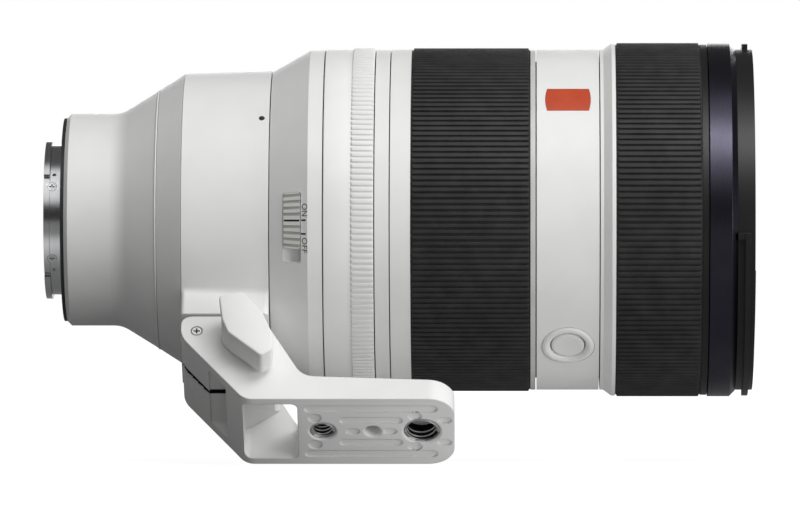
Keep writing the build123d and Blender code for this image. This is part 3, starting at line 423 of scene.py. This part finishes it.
finishes = {
    "white_paint": whiteLacquer(),
    "mount_chrome": turnedMetal("chromePlatedBrass", "#d9dadb", "#c3c4c6", 0.20),
    "black_rubber": gripRubber(),
    "black_plastic": mouldedPlastic("blackPolycarbonate", "#1d1d1e", "#151516", 0.55),
    "black_metal": mouldedPlastic("blackAnodisedAluminium", "#191918", "#131313", 0.40, 0.12, 0.015),
    "violet_black": violetAnodised(),
    "silver_ring": mouldedPlastic("satinSilverLacquer", "#d2d2ce", "#c6c6c2", 0.36, 0.10, 0.01),
    "bare_metal": turnedMetal("turnedAluminium", "#c9cacb", "#b2b3b5", 0.32, 0.25, 0.5),
    "inner_plastic": mouldedPlastic("glassFilledPolycarbonate", "#2c2c2e", "#222224", 0.5),
    "gold": turnedMetal("goldPlate", "#e8c15a", "#cfa23c", 0.22),
    "steel": turnedMetal("zincPlatedSteel", "#dcdcdc", "#c4c5c6", 0.42),
    "optical_glass": coatedGlass(),
    "orange_inlay": mouldedPlastic("orangeFilledEnamel", "#c9502c", "#bb4324", 0.32, 0.3, 0.01),
    "white_plastic": mouldedPlastic("whiteAbs", "#efefee", "#e9e9e8", 0.40, 0.20, 0.02, 0.3),
    "circuit_board": circuitLacquer(),
}
greyAcetalShadedGrooves = switchPlastic()
softCasting = whiteLacquer("whiteLacquerOnCasting", soft=0.6)    # the foot's edges are well rounded
ownFinish = {"foot": softCasting, "click_switch": greyAcetalShadedGrooves, "iris_lock_switch": greyAcetalShadedGrooves,
             "focus_mode_switch": greyAcetalShadedGrooves, "focus_range_switch": greyAcetalShadedGrooves}
slotOf = {part["node"]: part["material_slot"] for part in frame["record"]["subparts"]}
for nodeName, node in nodes.items():
    node.data.materials.clear()
    node.data.materials.append(ownFinish.get(nodeName, finishes[slotOf[nodeName]]))
print("materials on", len(nodes), "nodes")


# Shared mesh helpers

def ringPoint(x, angle, radius):
    # a point in metres from millimetres and degrees round the axis
    turn = radians(angle)
    return Vector((x * mm, -radius * cos(turn) * mm, radius * sin(turn) * mm))


rayStart = 60      # a radius outside the whole barrel, in millimetres


def inwardRay(x, angle):
    # where a ray starts, and its way straight in to the axis
    start = ringPoint(x, angle, rayStart)
    return start, (ringPoint(x, angle, 0) - start).normalized()


def surfaceOf(nodeName):
    # a node's surface, for rays
    mesh = nodes[nodeName].data
    return BVHTree.FromPolygons([v.co for v in mesh.vertices], [tuple(p.vertices) for p in mesh.polygons])


def faceOutward(build):
    bmesh.ops.recalc_face_normals(build, faces=build.faces)


def finishMesh(name, build):
    mesh = bpy.data.meshes.new(name)
    build.to_mesh(mesh)
    build.free()
    return mesh


def smoothMesh(mesh, sharp):
    # smooth shading that stays sharp at edges above that many degrees
    for polygon in mesh.polygons:
        polygon.use_smooth = True
    mesh.set_sharp_from_angle(angle=radians(sharp))


def keepMesh(name, mesh, body, material=None, sharp=35):
    # links a finished mesh as a piece that rides on a body; without a material it keeps its own
    smoothMesh(mesh, sharp)
    if material:
        mesh.materials.clear()
        mesh.materials.append(material)
    piece = bpy.data.objects.new(name, mesh)
    bpy.context.scene.collection.objects.link(piece)
    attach(piece, body)
    return piece


def skinRows(build, rows, closed):
    # quads between neighbouring rows of corners, and from the last row back to the first
    for here, there in zip(rows, rows[1:] + rows[:1]):
        for k in range(len(here) if closed else len(here) - 1):
            nextK = (k + 1) % len(here)
            build.faces.new((here[k], here[nextK], there[nextK], there[k]))


def turnedMesh(name, outline, steps=256):
    # a closed outline of (x, radius) in millimetres, turned once round the axis
    build = bmesh.new()
    rows = [[build.verts.new(ringPoint(x, 360 * n / steps, radius)) for x, radius in outline]
            for n in range(steps)]
    skinRows(build, rows, True)
    faceOutward(build)
    return finishMesh(name, build)


def ribMesh(name, length, root, crown, height, slope, corner):
    # one rib at the side facing -Y: X from 0 to length, wider at its root, sloped ends and rounded edges
    build = bmesh.new()
    halfRoot, halfCrown = root / 2, crown / 2
    low = [(0, halfRoot), (length, halfRoot), (length, -halfRoot), (0, -halfRoot)]
    high = [(slope, halfCrown), (length - slope, halfCrown), (length - slope, -halfCrown),
            (slope, -halfCrown)]
    bottom = [build.verts.new((x * mm, 0.0, z * mm)) for x, z in low]
    top = [build.verts.new((x * mm, -height * mm, z * mm)) for x, z in high]
    build.faces.new(top)
    for k in range(4):
        build.faces.new((bottom[k], bottom[(k + 1) % 4], top[(k + 1) % 4], top[k]))
    build.faces.new(bottom[::-1])
    faceOutward(build)
    edges = [e for e in build.edges if any(v in top for v in e.verts)]
    bmesh.ops.bevel(build, geom=edges, offset=corner * mm, segments=2, profile=0.6, affect="EDGES")
    mesh = finishMesh(name, build)
    smoothMesh(mesh, 50)
    return mesh


def newTree(name, sockets):
    # a Geometry Nodes tree with geometry in and out, and the named inputs given
    tree = bpy.data.node_groups.new(name, "GeometryNodeTree")
    tree.interface.new_socket("Geometry", in_out="INPUT", socket_type="NodeSocketGeometry")
    for label, kind in sockets:
        tree.interface.new_socket(label, in_out="INPUT", socket_type="NodeSocket" + kind)
    tree.interface.new_socket("Geometry", in_out="OUTPUT", socket_type="NodeSocketGeometry")
    return tree, tree.nodes.new("NodeGroupInput").outputs, tree.nodes.new("NodeGroupOutput").inputs


def joinAndPaint(tree, inside, outside, geometry):
    # adds the new geometry to the mesh that comes in, paints all of it and hands it out
    joined = addNode(tree, "GeometryNodeJoinGeometry")
    tree.links.new(inside["Geometry"], joined.inputs[0])
    tree.links.new(geometry, joined.inputs[0])
    painted = addNode(tree, "GeometryNodeSetMaterial", {"Geometry": joined.outputs[0],
                                                        "Material": inside["Finish"]})
    tree.links.new(painted.outputs[0], outside[0])


def runTree(name, tree, baseMesh, values):
    # runs a tree on a mesh and returns the result as a plain mesh
    host = bpy.data.objects.new(name + "Host", baseMesh)
    bpy.context.scene.collection.objects.link(host)
    modifier = host.modifiers.new("shape", "NODES")
    modifier.node_group = tree
    for item in tree.interface.items_tree:
        if item.in_out == "INPUT" and item.name in values:
            modifier[item.identifier] = values[item.name]
    host.update_tag()
    bpy.context.view_layer.update()
    return plainMesh(name, host)


def plainMesh(name, host):
    # the mesh that an object evaluates to; the object itself is removed
    graph = bpy.context.evaluated_depsgraph_get()
    mesh = bpy.data.meshes.new_from_object(host.evaluated_get(graph), depsgraph=graph)
    mesh.name = name
    bpy.data.objects.remove(host)
    return mesh


def makeRibTree():
    # copies of one rib set round the axis on the base ring that comes in
    tree, inside, outside = newTree("ribsRoundTheAxis", [
        ("Rib", "Object"), ("Count", "Int"), ("Start", "Float"), ("Radius", "Float"),
        ("First Angle", "Float"), ("Finish", "Material")])
    index = addNode(tree, "GeometryNodeInputIndex").outputs[0]
    pitch = compute(tree, "DIVIDE", 2 * pi, inside["Count"])
    turn = compute(tree, "MULTIPLY_ADD", index, pitch, inside["First Angle"])
    back = compute(tree, "MULTIPLY", inside["Radius"], -1.0)
    y = compute(tree, "MULTIPLY", compute(tree, "COSINE", turn), back)
    z = compute(tree, "MULTIPLY", compute(tree, "SINE", turn), inside["Radius"])
    spot = addNode(tree, "ShaderNodeCombineXYZ", {0: inside["Start"], 1: y, 2: z}).outputs[0]
    points = addNode(tree, "GeometryNodePoints", {"Count": inside["Count"], "Position": spot}).outputs[0]
    lean = compute(tree, "MULTIPLY", turn, -1.0)
    turned = addNode(tree, "ShaderNodeCombineXYZ", {0: lean, 1: 0.0, 2: 0.0}).outputs[0]
    rib = addNode(tree, "GeometryNodeObjectInfo", {"Object": inside["Rib"]}).outputs["Geometry"]
    copies = addNode(tree, "GeometryNodeInstanceOnPoints", {"Points": points, "Instance": rib,
                                                            "Rotation": turned}).outputs[0]
    real = addNode(tree, "GeometryNodeRealizeInstances", {"Geometry": copies}).outputs[0]
    joinAndPaint(tree, inside, outside, real)
    return tree


ribTree = makeRibTree()


def ribbedRing(name, base, rib, count, start, radius, finish):
    ribObject = bpy.data.objects.new(name + "Rib", rib)
    bpy.context.scene.collection.objects.link(ribObject)
    mesh = runTree(name, ribTree, base, {"Rib": ribObject, "Count": count, "Start": start * mm,
                                         "Radius": radius * mm, "First Angle": 0.0, "Finish": finish})
    bpy.data.objects.remove(ribObject)
    return mesh


# The two rubber grips: a sleeve with full-length ribs

grips = {
    "zoomGripRubber": {"node": "zoom_grip", "body": "zoom_ring", "start": 101.1, "end": 135.5,
                       "inner": 48.3, "outer": 49.9, "count": 182},
    "focusGripRubber": {"node": "focus_grip", "body": "focus_ring", "start": 160.0, "end": 184.8,
                        "inner": 49.8, "outer": 51.4, "count": 184},
}
# share and crownShare are the rib's widths at root and crown, as parts of the pitch
gripRib = {"height": 0.60, "share": 0.74, "crownShare": 0.56, "slope": 0.35, "corner": 0.10, "edge": 0.30,
           "sunk": 0.02}


def makeGrip(name, size):
    start, end, inner, edge = size["start"], size["end"], size["inner"], gripRib["edge"]
    pitch = 2 * pi * size["outer"] / size["count"]
    floor = size["outer"] - gripRib["height"]
    base = turnedMesh(name, [(start, inner), (end, inner), (end, floor), (start, floor)])
    rib = ribMesh(name + "Bar", end - start - 2 * edge, pitch * gripRib["share"],
                  pitch * gripRib["crownShare"], gripRib["height"] + gripRib["sunk"], gripRib["slope"],
                  gripRib["corner"])
    mesh = ribbedRing(name, base, rib, size["count"], start + edge, floor - gripRib["sunk"],
                      finishes["black_rubber"])
    grip = keepMesh(name, mesh, size["body"])
    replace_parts(grip, size["node"])


for gripName, gripSize in grips.items():
    makeGrip(gripName, gripSize)
print("rubber grips ribbed")


# The aperture ring with its finer white ribs

apertureRing = {"back": 76.15, "front": 90.55, "ribStart": 84.0, "bore": 46.1, "radius": 49.5,
                "ribRadius": 49.9, "floor": 49.42, "count": 180, "share": 0.72, "crownShare": 0.52,
                "slope": 0.25, "corner": 0.09, "chamfer": 0.15, "step": 0.2, "gap": 0.05, "sunk": 0.05}


def makeApertureRing():
    size = apertureRing
    back, front, ribStart, radius = size["back"], size["front"], size["ribStart"], size["radius"]
    base = turnedMesh("apertureRingRibbed", [
        (back, size["bore"]), (front, size["bore"]), (front, size["floor"]),
        (ribStart + size["step"], size["floor"]), (ribStart, radius), (back + size["chamfer"], radius),
        (back, radius - size["chamfer"])])
    pitch = 2 * pi * size["ribRadius"] / size["count"]
    rib = ribMesh("apertureBar", front - ribStart - 2 * size["gap"], pitch * size["share"],
                  pitch * size["crownShare"], size["ribRadius"] - size["floor"] + size["sunk"],
                  size["slope"], size["corner"])
    mesh = ribbedRing("apertureRingRibbed", base, rib, size["count"], ribStart + size["gap"],
                      size["floor"] - size["sunk"], finishes["white_paint"])
    ring = keepMesh("apertureRingRibbed", mesh, "aperture_ring")
    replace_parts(ring, "aperture_ring")


makeApertureRing()
print("aperture ring ribbed")


# Printed marks

inkMarks = {
    "film": 0.03,                 # thickness of the ink
    "sunk": 0.7,                  # the share of it that lies below the surface
    "coneText": {"base": 70.16, "height": 1.55, "radius": 48.9},
    "words": {"onMark": ("ON", 5.4, 3.6), "offMark": ("OFF", -6.1, 4.4)},     # text, first angle, length
    "ticks": {"x": (69.96, 71.27), "angles": (-0.2, -4.8), "width": 0.5, "radius": 48.9},
    "dots": {"x": 58.2, "angles": (42.6, 132.6, 222.6), "radius": 0.85, "on": 43.0, "corners": 24},
    "sliderLine": {"x": (64.95, 69.45), "width": 0.55, "on": 48.5, "strips": 4},
}
inkAndShadeBlack = screenInk()


def drawnMesh(name, loops):
    # flat closed outlines of (u, v) in millimetres
    build = bmesh.new()
    for loop in loops:
        build.faces.new([build.verts.new((u, v, 0.0)) for u, v in loop])
    return finishMesh(name, build)


def drawnText(words, height, length):
    # capitals of that height and total length in millimetres, starting at the origin
    curve = bpy.data.curves.new("words", "FONT")
    curve.body, curve.resolution_u = words, 4
    host = bpy.data.objects.new("words", curve)
    bpy.context.scene.collection.objects.link(host)
    bpy.context.view_layer.update()
    mesh = plainMesh("words", host)
    lowX, lowY = [min(v.co[k] for v in mesh.vertices) for k in (0, 1)]
    highX, highY = [max(v.co[k] for v in mesh.vertices) for k in (0, 1)]
    for v in mesh.vertices:
        v.co = ((v.co.x - lowX) * length / (highX - lowX), (v.co.y - lowY) * height / (highY - lowY), 0)
    return mesh


def printInkAndShadeOn(name, flat, ray, nodeName, body):
    # presses a flat drawing on to a node's surface, along the ray that each of its corners is given, as black
    # ink for printed marks and as painted shade for the slit and the stop screw
    surface = surfaceOf(nodeName)
    build = bmesh.new()
    build.from_mesh(flat)
    bmesh.ops.remove_doubles(build, verts=build.verts, dist=1e-5)
    film = inkMarks["film"] * mm
    for v in build.verts:
        start, inward = ray(v.co.x, v.co.y)
        v.co = surface.ray_cast(start, inward)[0] - inward * film * inkMarks["sunk"]
    sheet = bmesh.ops.extrude_face_region(build, geom=build.faces[:], use_keep_orig=True)
    for v in [item for item in sheet["geom"] if isinstance(item, bmesh.types.BMVert)]:
        v.co += inward * film
    faceOutward(build)
    return keepMesh(name, finishMesh(name, build), body, inkAndShadeBlack, 30)


def printMarks():
    cone = inkMarks["coneText"]
    perMillimetre = degrees(1 / cone["radius"])
    for name, (words, first, length) in inkMarks["words"].items():
        printInkAndShadeOn(name, drawnText(words, cone["height"], length),
                lambda u, v: inwardRay(cone["base"] + v, first - u * perMillimetre),
                "switch_barrel", "barrel")
    ticks = inkMarks["ticks"]
    low, high = ticks["x"]
    half = degrees(ticks["width"] / 2 / ticks["radius"])
    for k, angle in enumerate(ticks["angles"]):
        bar = [(low, angle - half), (high, angle - half), (high, angle + half), (low, angle + half)]
        printInkAndShadeOn("switchTick" + str(k + 1), drawnMesh("bar", [bar]), inwardRay, "switch_barrel", "barrel")
    dots = inkMarks["dots"]
    reach = degrees(dots["radius"] / dots["on"])
    turns = [2 * pi * k / dots["corners"] for k in range(dots["corners"])]
    for k, angle in enumerate(dots["angles"]):
        dot = [(dots["x"] + dots["radius"] * cos(t), angle + reach * sin(t)) for t in turns]
        printInkAndShadeOn("collarDot" + str(k + 1), drawnMesh("dot", [dot]), inwardRay, "tripod_collar", "collar")


def markSlider(name, nodeName, body, angle):
    line = inkMarks["sliderLine"]
    half = degrees(line["width"] / 2 / line["on"])
    low, high = line["x"]
    steps = [low + (high - low) * k / line["strips"] for k in range(line["strips"] + 1)]
    strips = [[(a, -half), (b, -half), (b, half), (a, half)] for a, b in zip(steps, steps[1:])]
    printInkAndShadeOn(name, drawnMesh("strip", strips), lambda u, v: inwardRay(u, angle + v), nodeName, body)


sliders = {"clickSliderLine": ("click_switch", "click_slider", -0.3),
           "irisLockLine": ("iris_lock_switch", "iris_lock_slider", 148.0),
           "focusModeLine": ("focus_mode_switch", "focus_mode_slider", 180.0),
           "focusRangeLine": ("focus_range_switch", "focus_range_slider", 212.0)}
printMarks()
for markName, (nodeName, bodyName, sliderAngle) in sliders.items():
    markSlider(markName, nodeName, bodyName, sliderAngle)
print("marks printed")


# The foot's lever: a wing undercut towards its tip, on a round hub

footLever = {"x": 52.5, "depth": 57.0, "out": 16.3, "thickness": 8.4, "tipThickness": 1.2, "undercut": -3.0,
             "outline": [(-6.0, 8.0), (-4.9, -0.5), (-3.2, -5.3), (6.3, -14.0), (9.5, -11.8), (9.5, -6.0),
                         (6.9, 1.2), (0.7, 9.6)],
             "corner": 0.9, "cornerFold": 0.2, "edge": 0.45, "edgeFold": 0.6,     # folds in radians
             "hubRadius": 5.2, "hubFoot": 1.1, "hubTop": 6.0}
footTilt = 40      # degrees that the foot leans from straight down
hair = 1e-6        # lengths below this count as nothing


def footPoint(x, across, depth):
    # a point of the foot, which is laid out straight down and then turned by its tilt
    turn = radians(footTilt)
    return Vector((x * mm, (across * cos(turn) - depth * sin(turn)) * mm,
                   (-across * sin(turn) - depth * cos(turn)) * mm))


def sortRound(verts):
    # puts the corners of a flat face in order round their middle
    middle = sum((v.co for v in verts), Vector()) / len(verts)
    return sorted(verts, key=lambda v: atan2(v.co.z - middle.z, v.co.x - middle.x))


def foldedLoop(outline, fold):
    # the outline with a corner added where it crosses the fold
    loop = []
    for (x, z), (nextX, nextZ) in zip(outline, outline[1:] + outline[:1]):
        loop.append((x, z))
        if (z - fold) * (nextZ - fold) < 0:
            part = (fold - z) / (nextZ - z)
            loop.append((x + (nextX - x) * part, fold))
    return loop


def isUpright(edge):
    # an edge that runs through the lever's thickness
    across = edge.verts[0].co - edge.verts[1].co
    return abs(across.x) < hair and abs(across.z) < hair


def foldAbove(build, angle):
    # edges folded by more than that angle in radians
    return [e for e in build.edges if e.is_manifold and e.calc_face_angle() > angle]


def makeLever():
    size, fold = footLever, footLever["undercut"]
    slope = (size["thickness"] - size["tipThickness"]) / (max(z for x, z in size["outline"]) - fold)
    loop = foldedLoop(size["outline"], fold)
    build = bmesh.new()
    outer = [build.verts.new((x, -size["thickness"], z)) for x, z in loop]
    inner = [build.verts.new((x, -max(0.0, z - fold) * slope, z)) for x, z in loop]
    build.faces.new(outer)
    for k in range(len(loop)):
        n = (k + 1) % len(loop)
        build.faces.new((outer[k], inner[k], inner[n], outer[n]))
    build.faces.new(sortRound([v for v in inner if v.co.z >= fold - hair]))
    build.faces.new(sortRound([v for v in inner if v.co.z <= fold + hair]))
    faceOutward(build)
    upright = [e for e in foldAbove(build, size["cornerFold"]) if isUpright(e)]
    bmesh.ops.bevel(build, geom=upright, offset=size["corner"], segments=4, profile=0.5, affect="EDGES")
    rim = foldAbove(build, size["edgeFold"])
    bmesh.ops.bevel(build, geom=rim, offset=size["edge"], segments=3, profile=0.5, affect="EDGES")
    hubPlace = (Matrix.Translation((0, (size["hubFoot"] - size["hubTop"]) / 2, 0))
                @ Matrix.Rotation(pi / 2, 4, "X"))
    bmesh.ops.create_cone(build, cap_ends=True, segments=64, radius1=size["hubRadius"],
                          radius2=size["hubRadius"], depth=size["hubTop"] + size["hubFoot"],
                          matrix=hubPlace)
    for v in build.verts:
        v.co = footPoint(size["x"] + v.co.x, v.co.y - size["out"], size["depth"] - v.co.z)
    faceOutward(build)
    lever = keepMesh("footLeverWing", finishMesh("footLeverWing", build), "lever",
                     finishes["white_paint"], 32)
    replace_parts(lever, "foot_lever")


makeLever()
print("foot lever shaped")


# Hold buttons: a domed rim round a slightly dished cap, as profiles of (radius, height)

holdButtons = {
    "x": 146.25, "surface": 49.5,
    "buttons": {"holdCapOne": ("focus_hold_button_1", "button_1", -47.5),
                "holdCapTwo": ("focus_hold_button_2", "button_2", 132.5),
                "holdCapThree": ("focus_hold_button_3", "button_3", 222.5)},
    "rim": [(7.6, -1.2), (7.6, -0.25), (7.48, 0.02), (7.22, 0.26), (6.85, 0.41), (6.45, 0.45), (6.05, 0.38),
            (5.65, 0.18), (5.35, -0.10), (5.12, -0.5), (5.0, -1.2)],
    "cap": [(4.75, -1.2), (4.75, -0.62), (4.68, -0.38), (4.50, -0.18), (4.22, -0.08), (3.8, -0.10),
            (3.0, -0.17), (2.0, -0.22), (1.0, -0.24)],
    "steps": 72,
}


def wrappedRound(build, profile, angle, closed):
    # turns a profile about a radial axis and wraps it round the barrel; an open one gets a floor and a lid
    size, rows = holdButtons, []
    for n in range(size["steps"]):
        t = 2 * pi * n / size["steps"]
        rows.append([build.verts.new(ringPoint(size["x"] + r * cos(t),
                                               angle + degrees(r * sin(t) / size["surface"]),
                                               size["surface"] + h)) for r, h in profile])
    skinRows(build, rows, closed)
    if not closed:
        build.faces.new([row[-1] for row in rows])
        build.faces.new([row[0] for row in rows][::-1])


def keepButtonPart(name, build, body, nodeName):
    faceOutward(build)
    piece = keepMesh(name, finishMesh(name, build), body, finishes["white_plastic"], 40)
    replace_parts(piece, nodeName)


def makeButtons():
    rims = bmesh.new()
    for name, (nodeName, body, angle) in holdButtons["buttons"].items():
        wrappedRound(rims, holdButtons["rim"], angle, True)
        cap = bmesh.new()
        wrappedRound(cap, holdButtons["cap"], angle, False)
        keepButtonPart(name, cap, body, nodeName)
    keepButtonPart("holdButtonRims", rims, "barrel", "button_bezels")


makeButtons()
print("hold buttons shaped")


# Cross recess in the foot's stop screw, and the gap round its head, both drawn as black sheets: painted shade

stopScrew = {"x": 40.0, "depth": 54.0, "arm": 0.95, "width": 0.30, "gap": (1.40, 1.62), "steps": 32,
             "side": -25}


def makeScrewCrossShade():
    size = stopScrew
    arm, half = size["arm"], size["width"] / 2
    loops = [[(-arm, -half), (-half, -half), (half, -half), (arm, -half), (arm, half), (half, half),
              (-half, half), (-arm, half)],
             [(-half, half), (half, half), (half, arm), (-half, arm)],
             [(-half, -arm), (half, -arm), (half, -half), (-half, -half)]]
    inner, outer = size["gap"]
    ways = [(cos(2 * pi * k / size["steps"]), sin(2 * pi * k / size["steps"]))
            for k in range(size["steps"] + 1)]
    loops += [[(inner * a, inner * b), (outer * a, outer * b), (outer * c, outer * d), (inner * c, inner * d)]
              for (a, b), (c, d) in zip(ways, ways[1:])]

    def ray(u, v):
        start = footPoint(size["x"] + u, size["side"], size["depth"] - v)
        return start, (footPoint(size["x"] + u, 0, size["depth"] - v) - start).normalized()

    # painted shade: a black cross and a black ring where the recess and the gap round the head are dark
    printInkAndShadeOn("stopScrewCross", drawnMesh("cross", loops), ray, "foot_stop_screw", "foot")


makeScrewCrossShade()


# The clamp's slit in the foot, whose walls get thin black sheets: painted shade for the shadow inside the
# gap. It is searched in small square cells from its middle, and a cell belongs to a wall where all its
# corners meet the foot within reach.

slit = {"across": -1.5, "reach": 1.2, "x": (35.4, 53.2), "depth": (49.0, 66.0), "cell": 0.4}


def stepsBetween(ends, step):
    value, found = ends[0], []
    while value < ends[1]:
        found.append(value)
        value += step
    return found


def makeSlitShadeSheets():
    size, cell = slit, slit["cell"]
    surface = surfaceOf("foot")
    for name, side in (("slitWallOne", -1), ("slitWallTwo", 1)):
        way = (footPoint(0, side, 0) - footPoint(0, 0, 0)).normalized()

        def ray(u, v):
            return footPoint(u, size["across"], v), way

        def onWall(u, v):
            return surface.ray_cast(*ray(u, v), size["reach"] * mm)[0] is not None

        cells = [[(u, v), (u + cell, v), (u + cell, v + cell), (u, v + cell)]
                 for u in stepsBetween(size["x"], cell) for v in stepsBetween(size["depth"], cell)]
        cells = [corners for corners in cells if all(onWall(*corner) for corner in corners)]
        # painted shade: thin black sheets on both walls of the slit
        printInkAndShadeOn(name, drawnMesh("cells", cells), ray, "foot", "foot")


makeSlitShadeSheets()
print("stop screw and slit shown")


# Threads, wound as a helix: two bushes in the foot and the filter thread. The bush's two ranges below say
# where painted shade
# starts and where it is full: in the roots, outside the crests, and in the bore, below the mouth.

threads = {
    "quarterInchBush": {"node": "quarter_inch_insert", "x": 76.2, "outer": 3.75, "major": 3.175,
                        "pitch": 1.27, "depth": 0.60},
    "threeEighthsBush": {"node": "three_eighths_insert", "x": 104.5, "outer": 5.2, "major": 4.7625,
                         "pitch": 1.5875, "depth": 0.74},
}
bush = {"mouth": 78.5, "length": 5.8, "chamfer": 0.45, "rim": 0.15, "sides": 64, "threadSteps": 40,
        "crestLitRootShaded": (0.12, 0.30), "depthShadeRange": (0.45, 0.60)}
filterThread = {"start": 196.5, "end": 199.7, "radius": 47.06, "pitch": 1.0, "depth": 0.30, "steps": 200}


def makeThreadTree():
    # one ridge wound along a helix about Z, joined to whatever mesh comes in
    tree, inside, outside = newTree("threadHelix", [
        ("Radius", "Float"), ("Pitch", "Float"), ("Turns", "Float"), ("Depth", "Float"), ("Steps", "Int"),
        ("Finish", "Material")])
    rise = compute(tree, "MULTIPLY", inside["Pitch"], inside["Turns"])
    helix = addNode(tree, "GeometryNodeCurveSpiral", {
        "Resolution": inside["Steps"], "Rotations": inside["Turns"], "Start Radius": inside["Radius"],
        "End Radius": inside["Radius"], "Height": rise}).outputs[0]
    upright = addNode(tree, "GeometryNodeSetCurveNormal", {"Curve": helix}, mode="Z_UP").outputs[0]
    edge = addNode(tree, "GeometryNodeCurvePrimitiveCircle", {"Resolution": 4, "Radius": inside["Depth"]})
    ridge = addNode(tree, "GeometryNodeCurveToMesh", {"Curve": upright, "Profile Curve": edge.outputs[0],
                                                      "Fill Caps": True}).outputs[0]
    joinAndPaint(tree, inside, outside, ridge)
    return tree


threadTree = makeThreadTree()


def woundThread(name, base, size, turns, steps, finish):
    return runTree(name, threadTree, base, {
        "Radius": size["radius"] * mm, "Pitch": size["pitch"] * mm, "Turns": turns,
        "Depth": size["depth"] * mm, "Steps": steps, "Finish": finish})


def threadSteel(name, mouth, inwards, crest):
    # a tapped steel bush with painted shade: its roots and the bore below the mouth are painted dark, while
    # its crests and mouth keep the bright steel colour
    material, tree, shader, place = startMaterial(name, Metallic=1.0)
    reach = vectorMath(tree, "SUBTRACT", place, mouth)
    radius = vectorMath(tree, "LENGTH", vectorMath(tree, "CROSS_PRODUCT", reach, inwards))
    depth = vectorMath(tree, "DOT_PRODUCT", reach, inwards)
    # painted shade: dark towards the thread's roots and, below the mouth, deeper in the bore
    crestLitRootShaded = spread(tree, radius, 1, 0, *[(crest + part) * mm for part in bush["crestLitRootShaded"]])
    mouthLitDepthShaded = spread(tree, depth, 1, 0, *[part * mm for part in bush["depthShadeRange"]])
    setColour(tree, shader, compute(tree, "MAXIMUM", crestLitRootShaded, mouthLitDepthShaded), "#1d1d1e", "#d8d8d8")
    setRoughness(tree, shader, spread(tree, grain(tree, place, 0.5), 0.30, 0.42))
    return material


def makeBush(name, size):
    # a steel bush with a coarse thread: wall about Z, mouth at Z 0, then turned into the foot
    length, chamfer, rim, sides = bush["length"], bush["chamfer"], bush["rim"], bush["sides"]
    outer, major = size["outer"], size["major"]
    outline = [(major, chamfer), (major + chamfer * 0.5, 0.0), (outer - rim, 0.0), (outer, rim),
               (outer, length), (major, length)]
    ways = [(cos(2 * pi * n / sides), sin(2 * pi * n / sides)) for n in range(sides)]
    wall = bmesh.new()
    skinRows(wall, [[wall.verts.new((r * a * mm, r * b * mm, z * mm)) for r, z in outline] for a, b in ways],
             True)
    faceOutward(wall)
    turns = (length - chamfer - 2 * size["depth"]) / size["pitch"]
    turned = Matrix.Rotation(-radians(footTilt), 3, "X")
    mouth = footPoint(size["x"], 0, bush["mouth"])
    steel = threadSteel(name + "Steel", mouth, turned @ Vector((0, 0, 1)), major - size["depth"])
    mesh = woundThread(name, finishMesh(name, wall), dict(size, radius=major), turns, bush["threadSteps"],
                       steel)
    mesh.transform(Matrix.Translation(mouth) @ turned.to_4x4())
    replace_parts(keepMesh(name, mesh, "foot", sharp=30), size["node"])


def makeFilterThread():
    size, name = filterThread, "filterThreadRidge"
    turns = (size["end"] - size["start"]) / size["pitch"]
    mesh = woundThread(name, bpy.data.meshes.new("none"), size, turns, size["steps"], finishes["black_metal"])
    mesh.transform(Matrix.Translation((size["start"] * mm, 0, 0)) @ Matrix.Rotation(pi / 2, 4, "Y"))
    keepMesh(name, mesh, "barrel", sharp=30)


for threadName, threadSize in threads.items():
    makeBush(threadName, threadSize)
makeFilterThread()
print("threads cut")


# The narrow land where the rear cone meets the shoulder. Its top is given as (x, height), x from its front
# edge and height above the radius that the barrel has there; its foot is sunk below the cone.

shoulderLand = {"x": 27.9, "width": 0.75, "measured": 0.15, "angle": 20, "sunk": 0.3,
                "top": [(-0.57, -0.12), (-0.43, 0.05), (-0.12, 0.05), (-0.03, -0.04)]}


def makeShoulderLand():
    size = shoulderLand
    surface = surfaceOf("rear_barrel")

    def radiusAt(x):
        return surface.ray_cast(*inwardRay(x, size["angle"]))[0].yz.length / mm

    back = size["x"] - size["width"]
    edge, low = radiusAt(size["x"] - size["measured"]), radiusAt(back) - size["sunk"]
    top = [(size["x"] + x, edge + height) for x, height in size["top"]]
    outline = [(back, low), (back, low + size["sunk"])] + top + [(top[-1][0], low)]
    keepMesh("shoulderLand", turnedMesh("shoulderLand", outline), "barrel",
             finishes["white_paint"], 45)


makeShoulderLand()
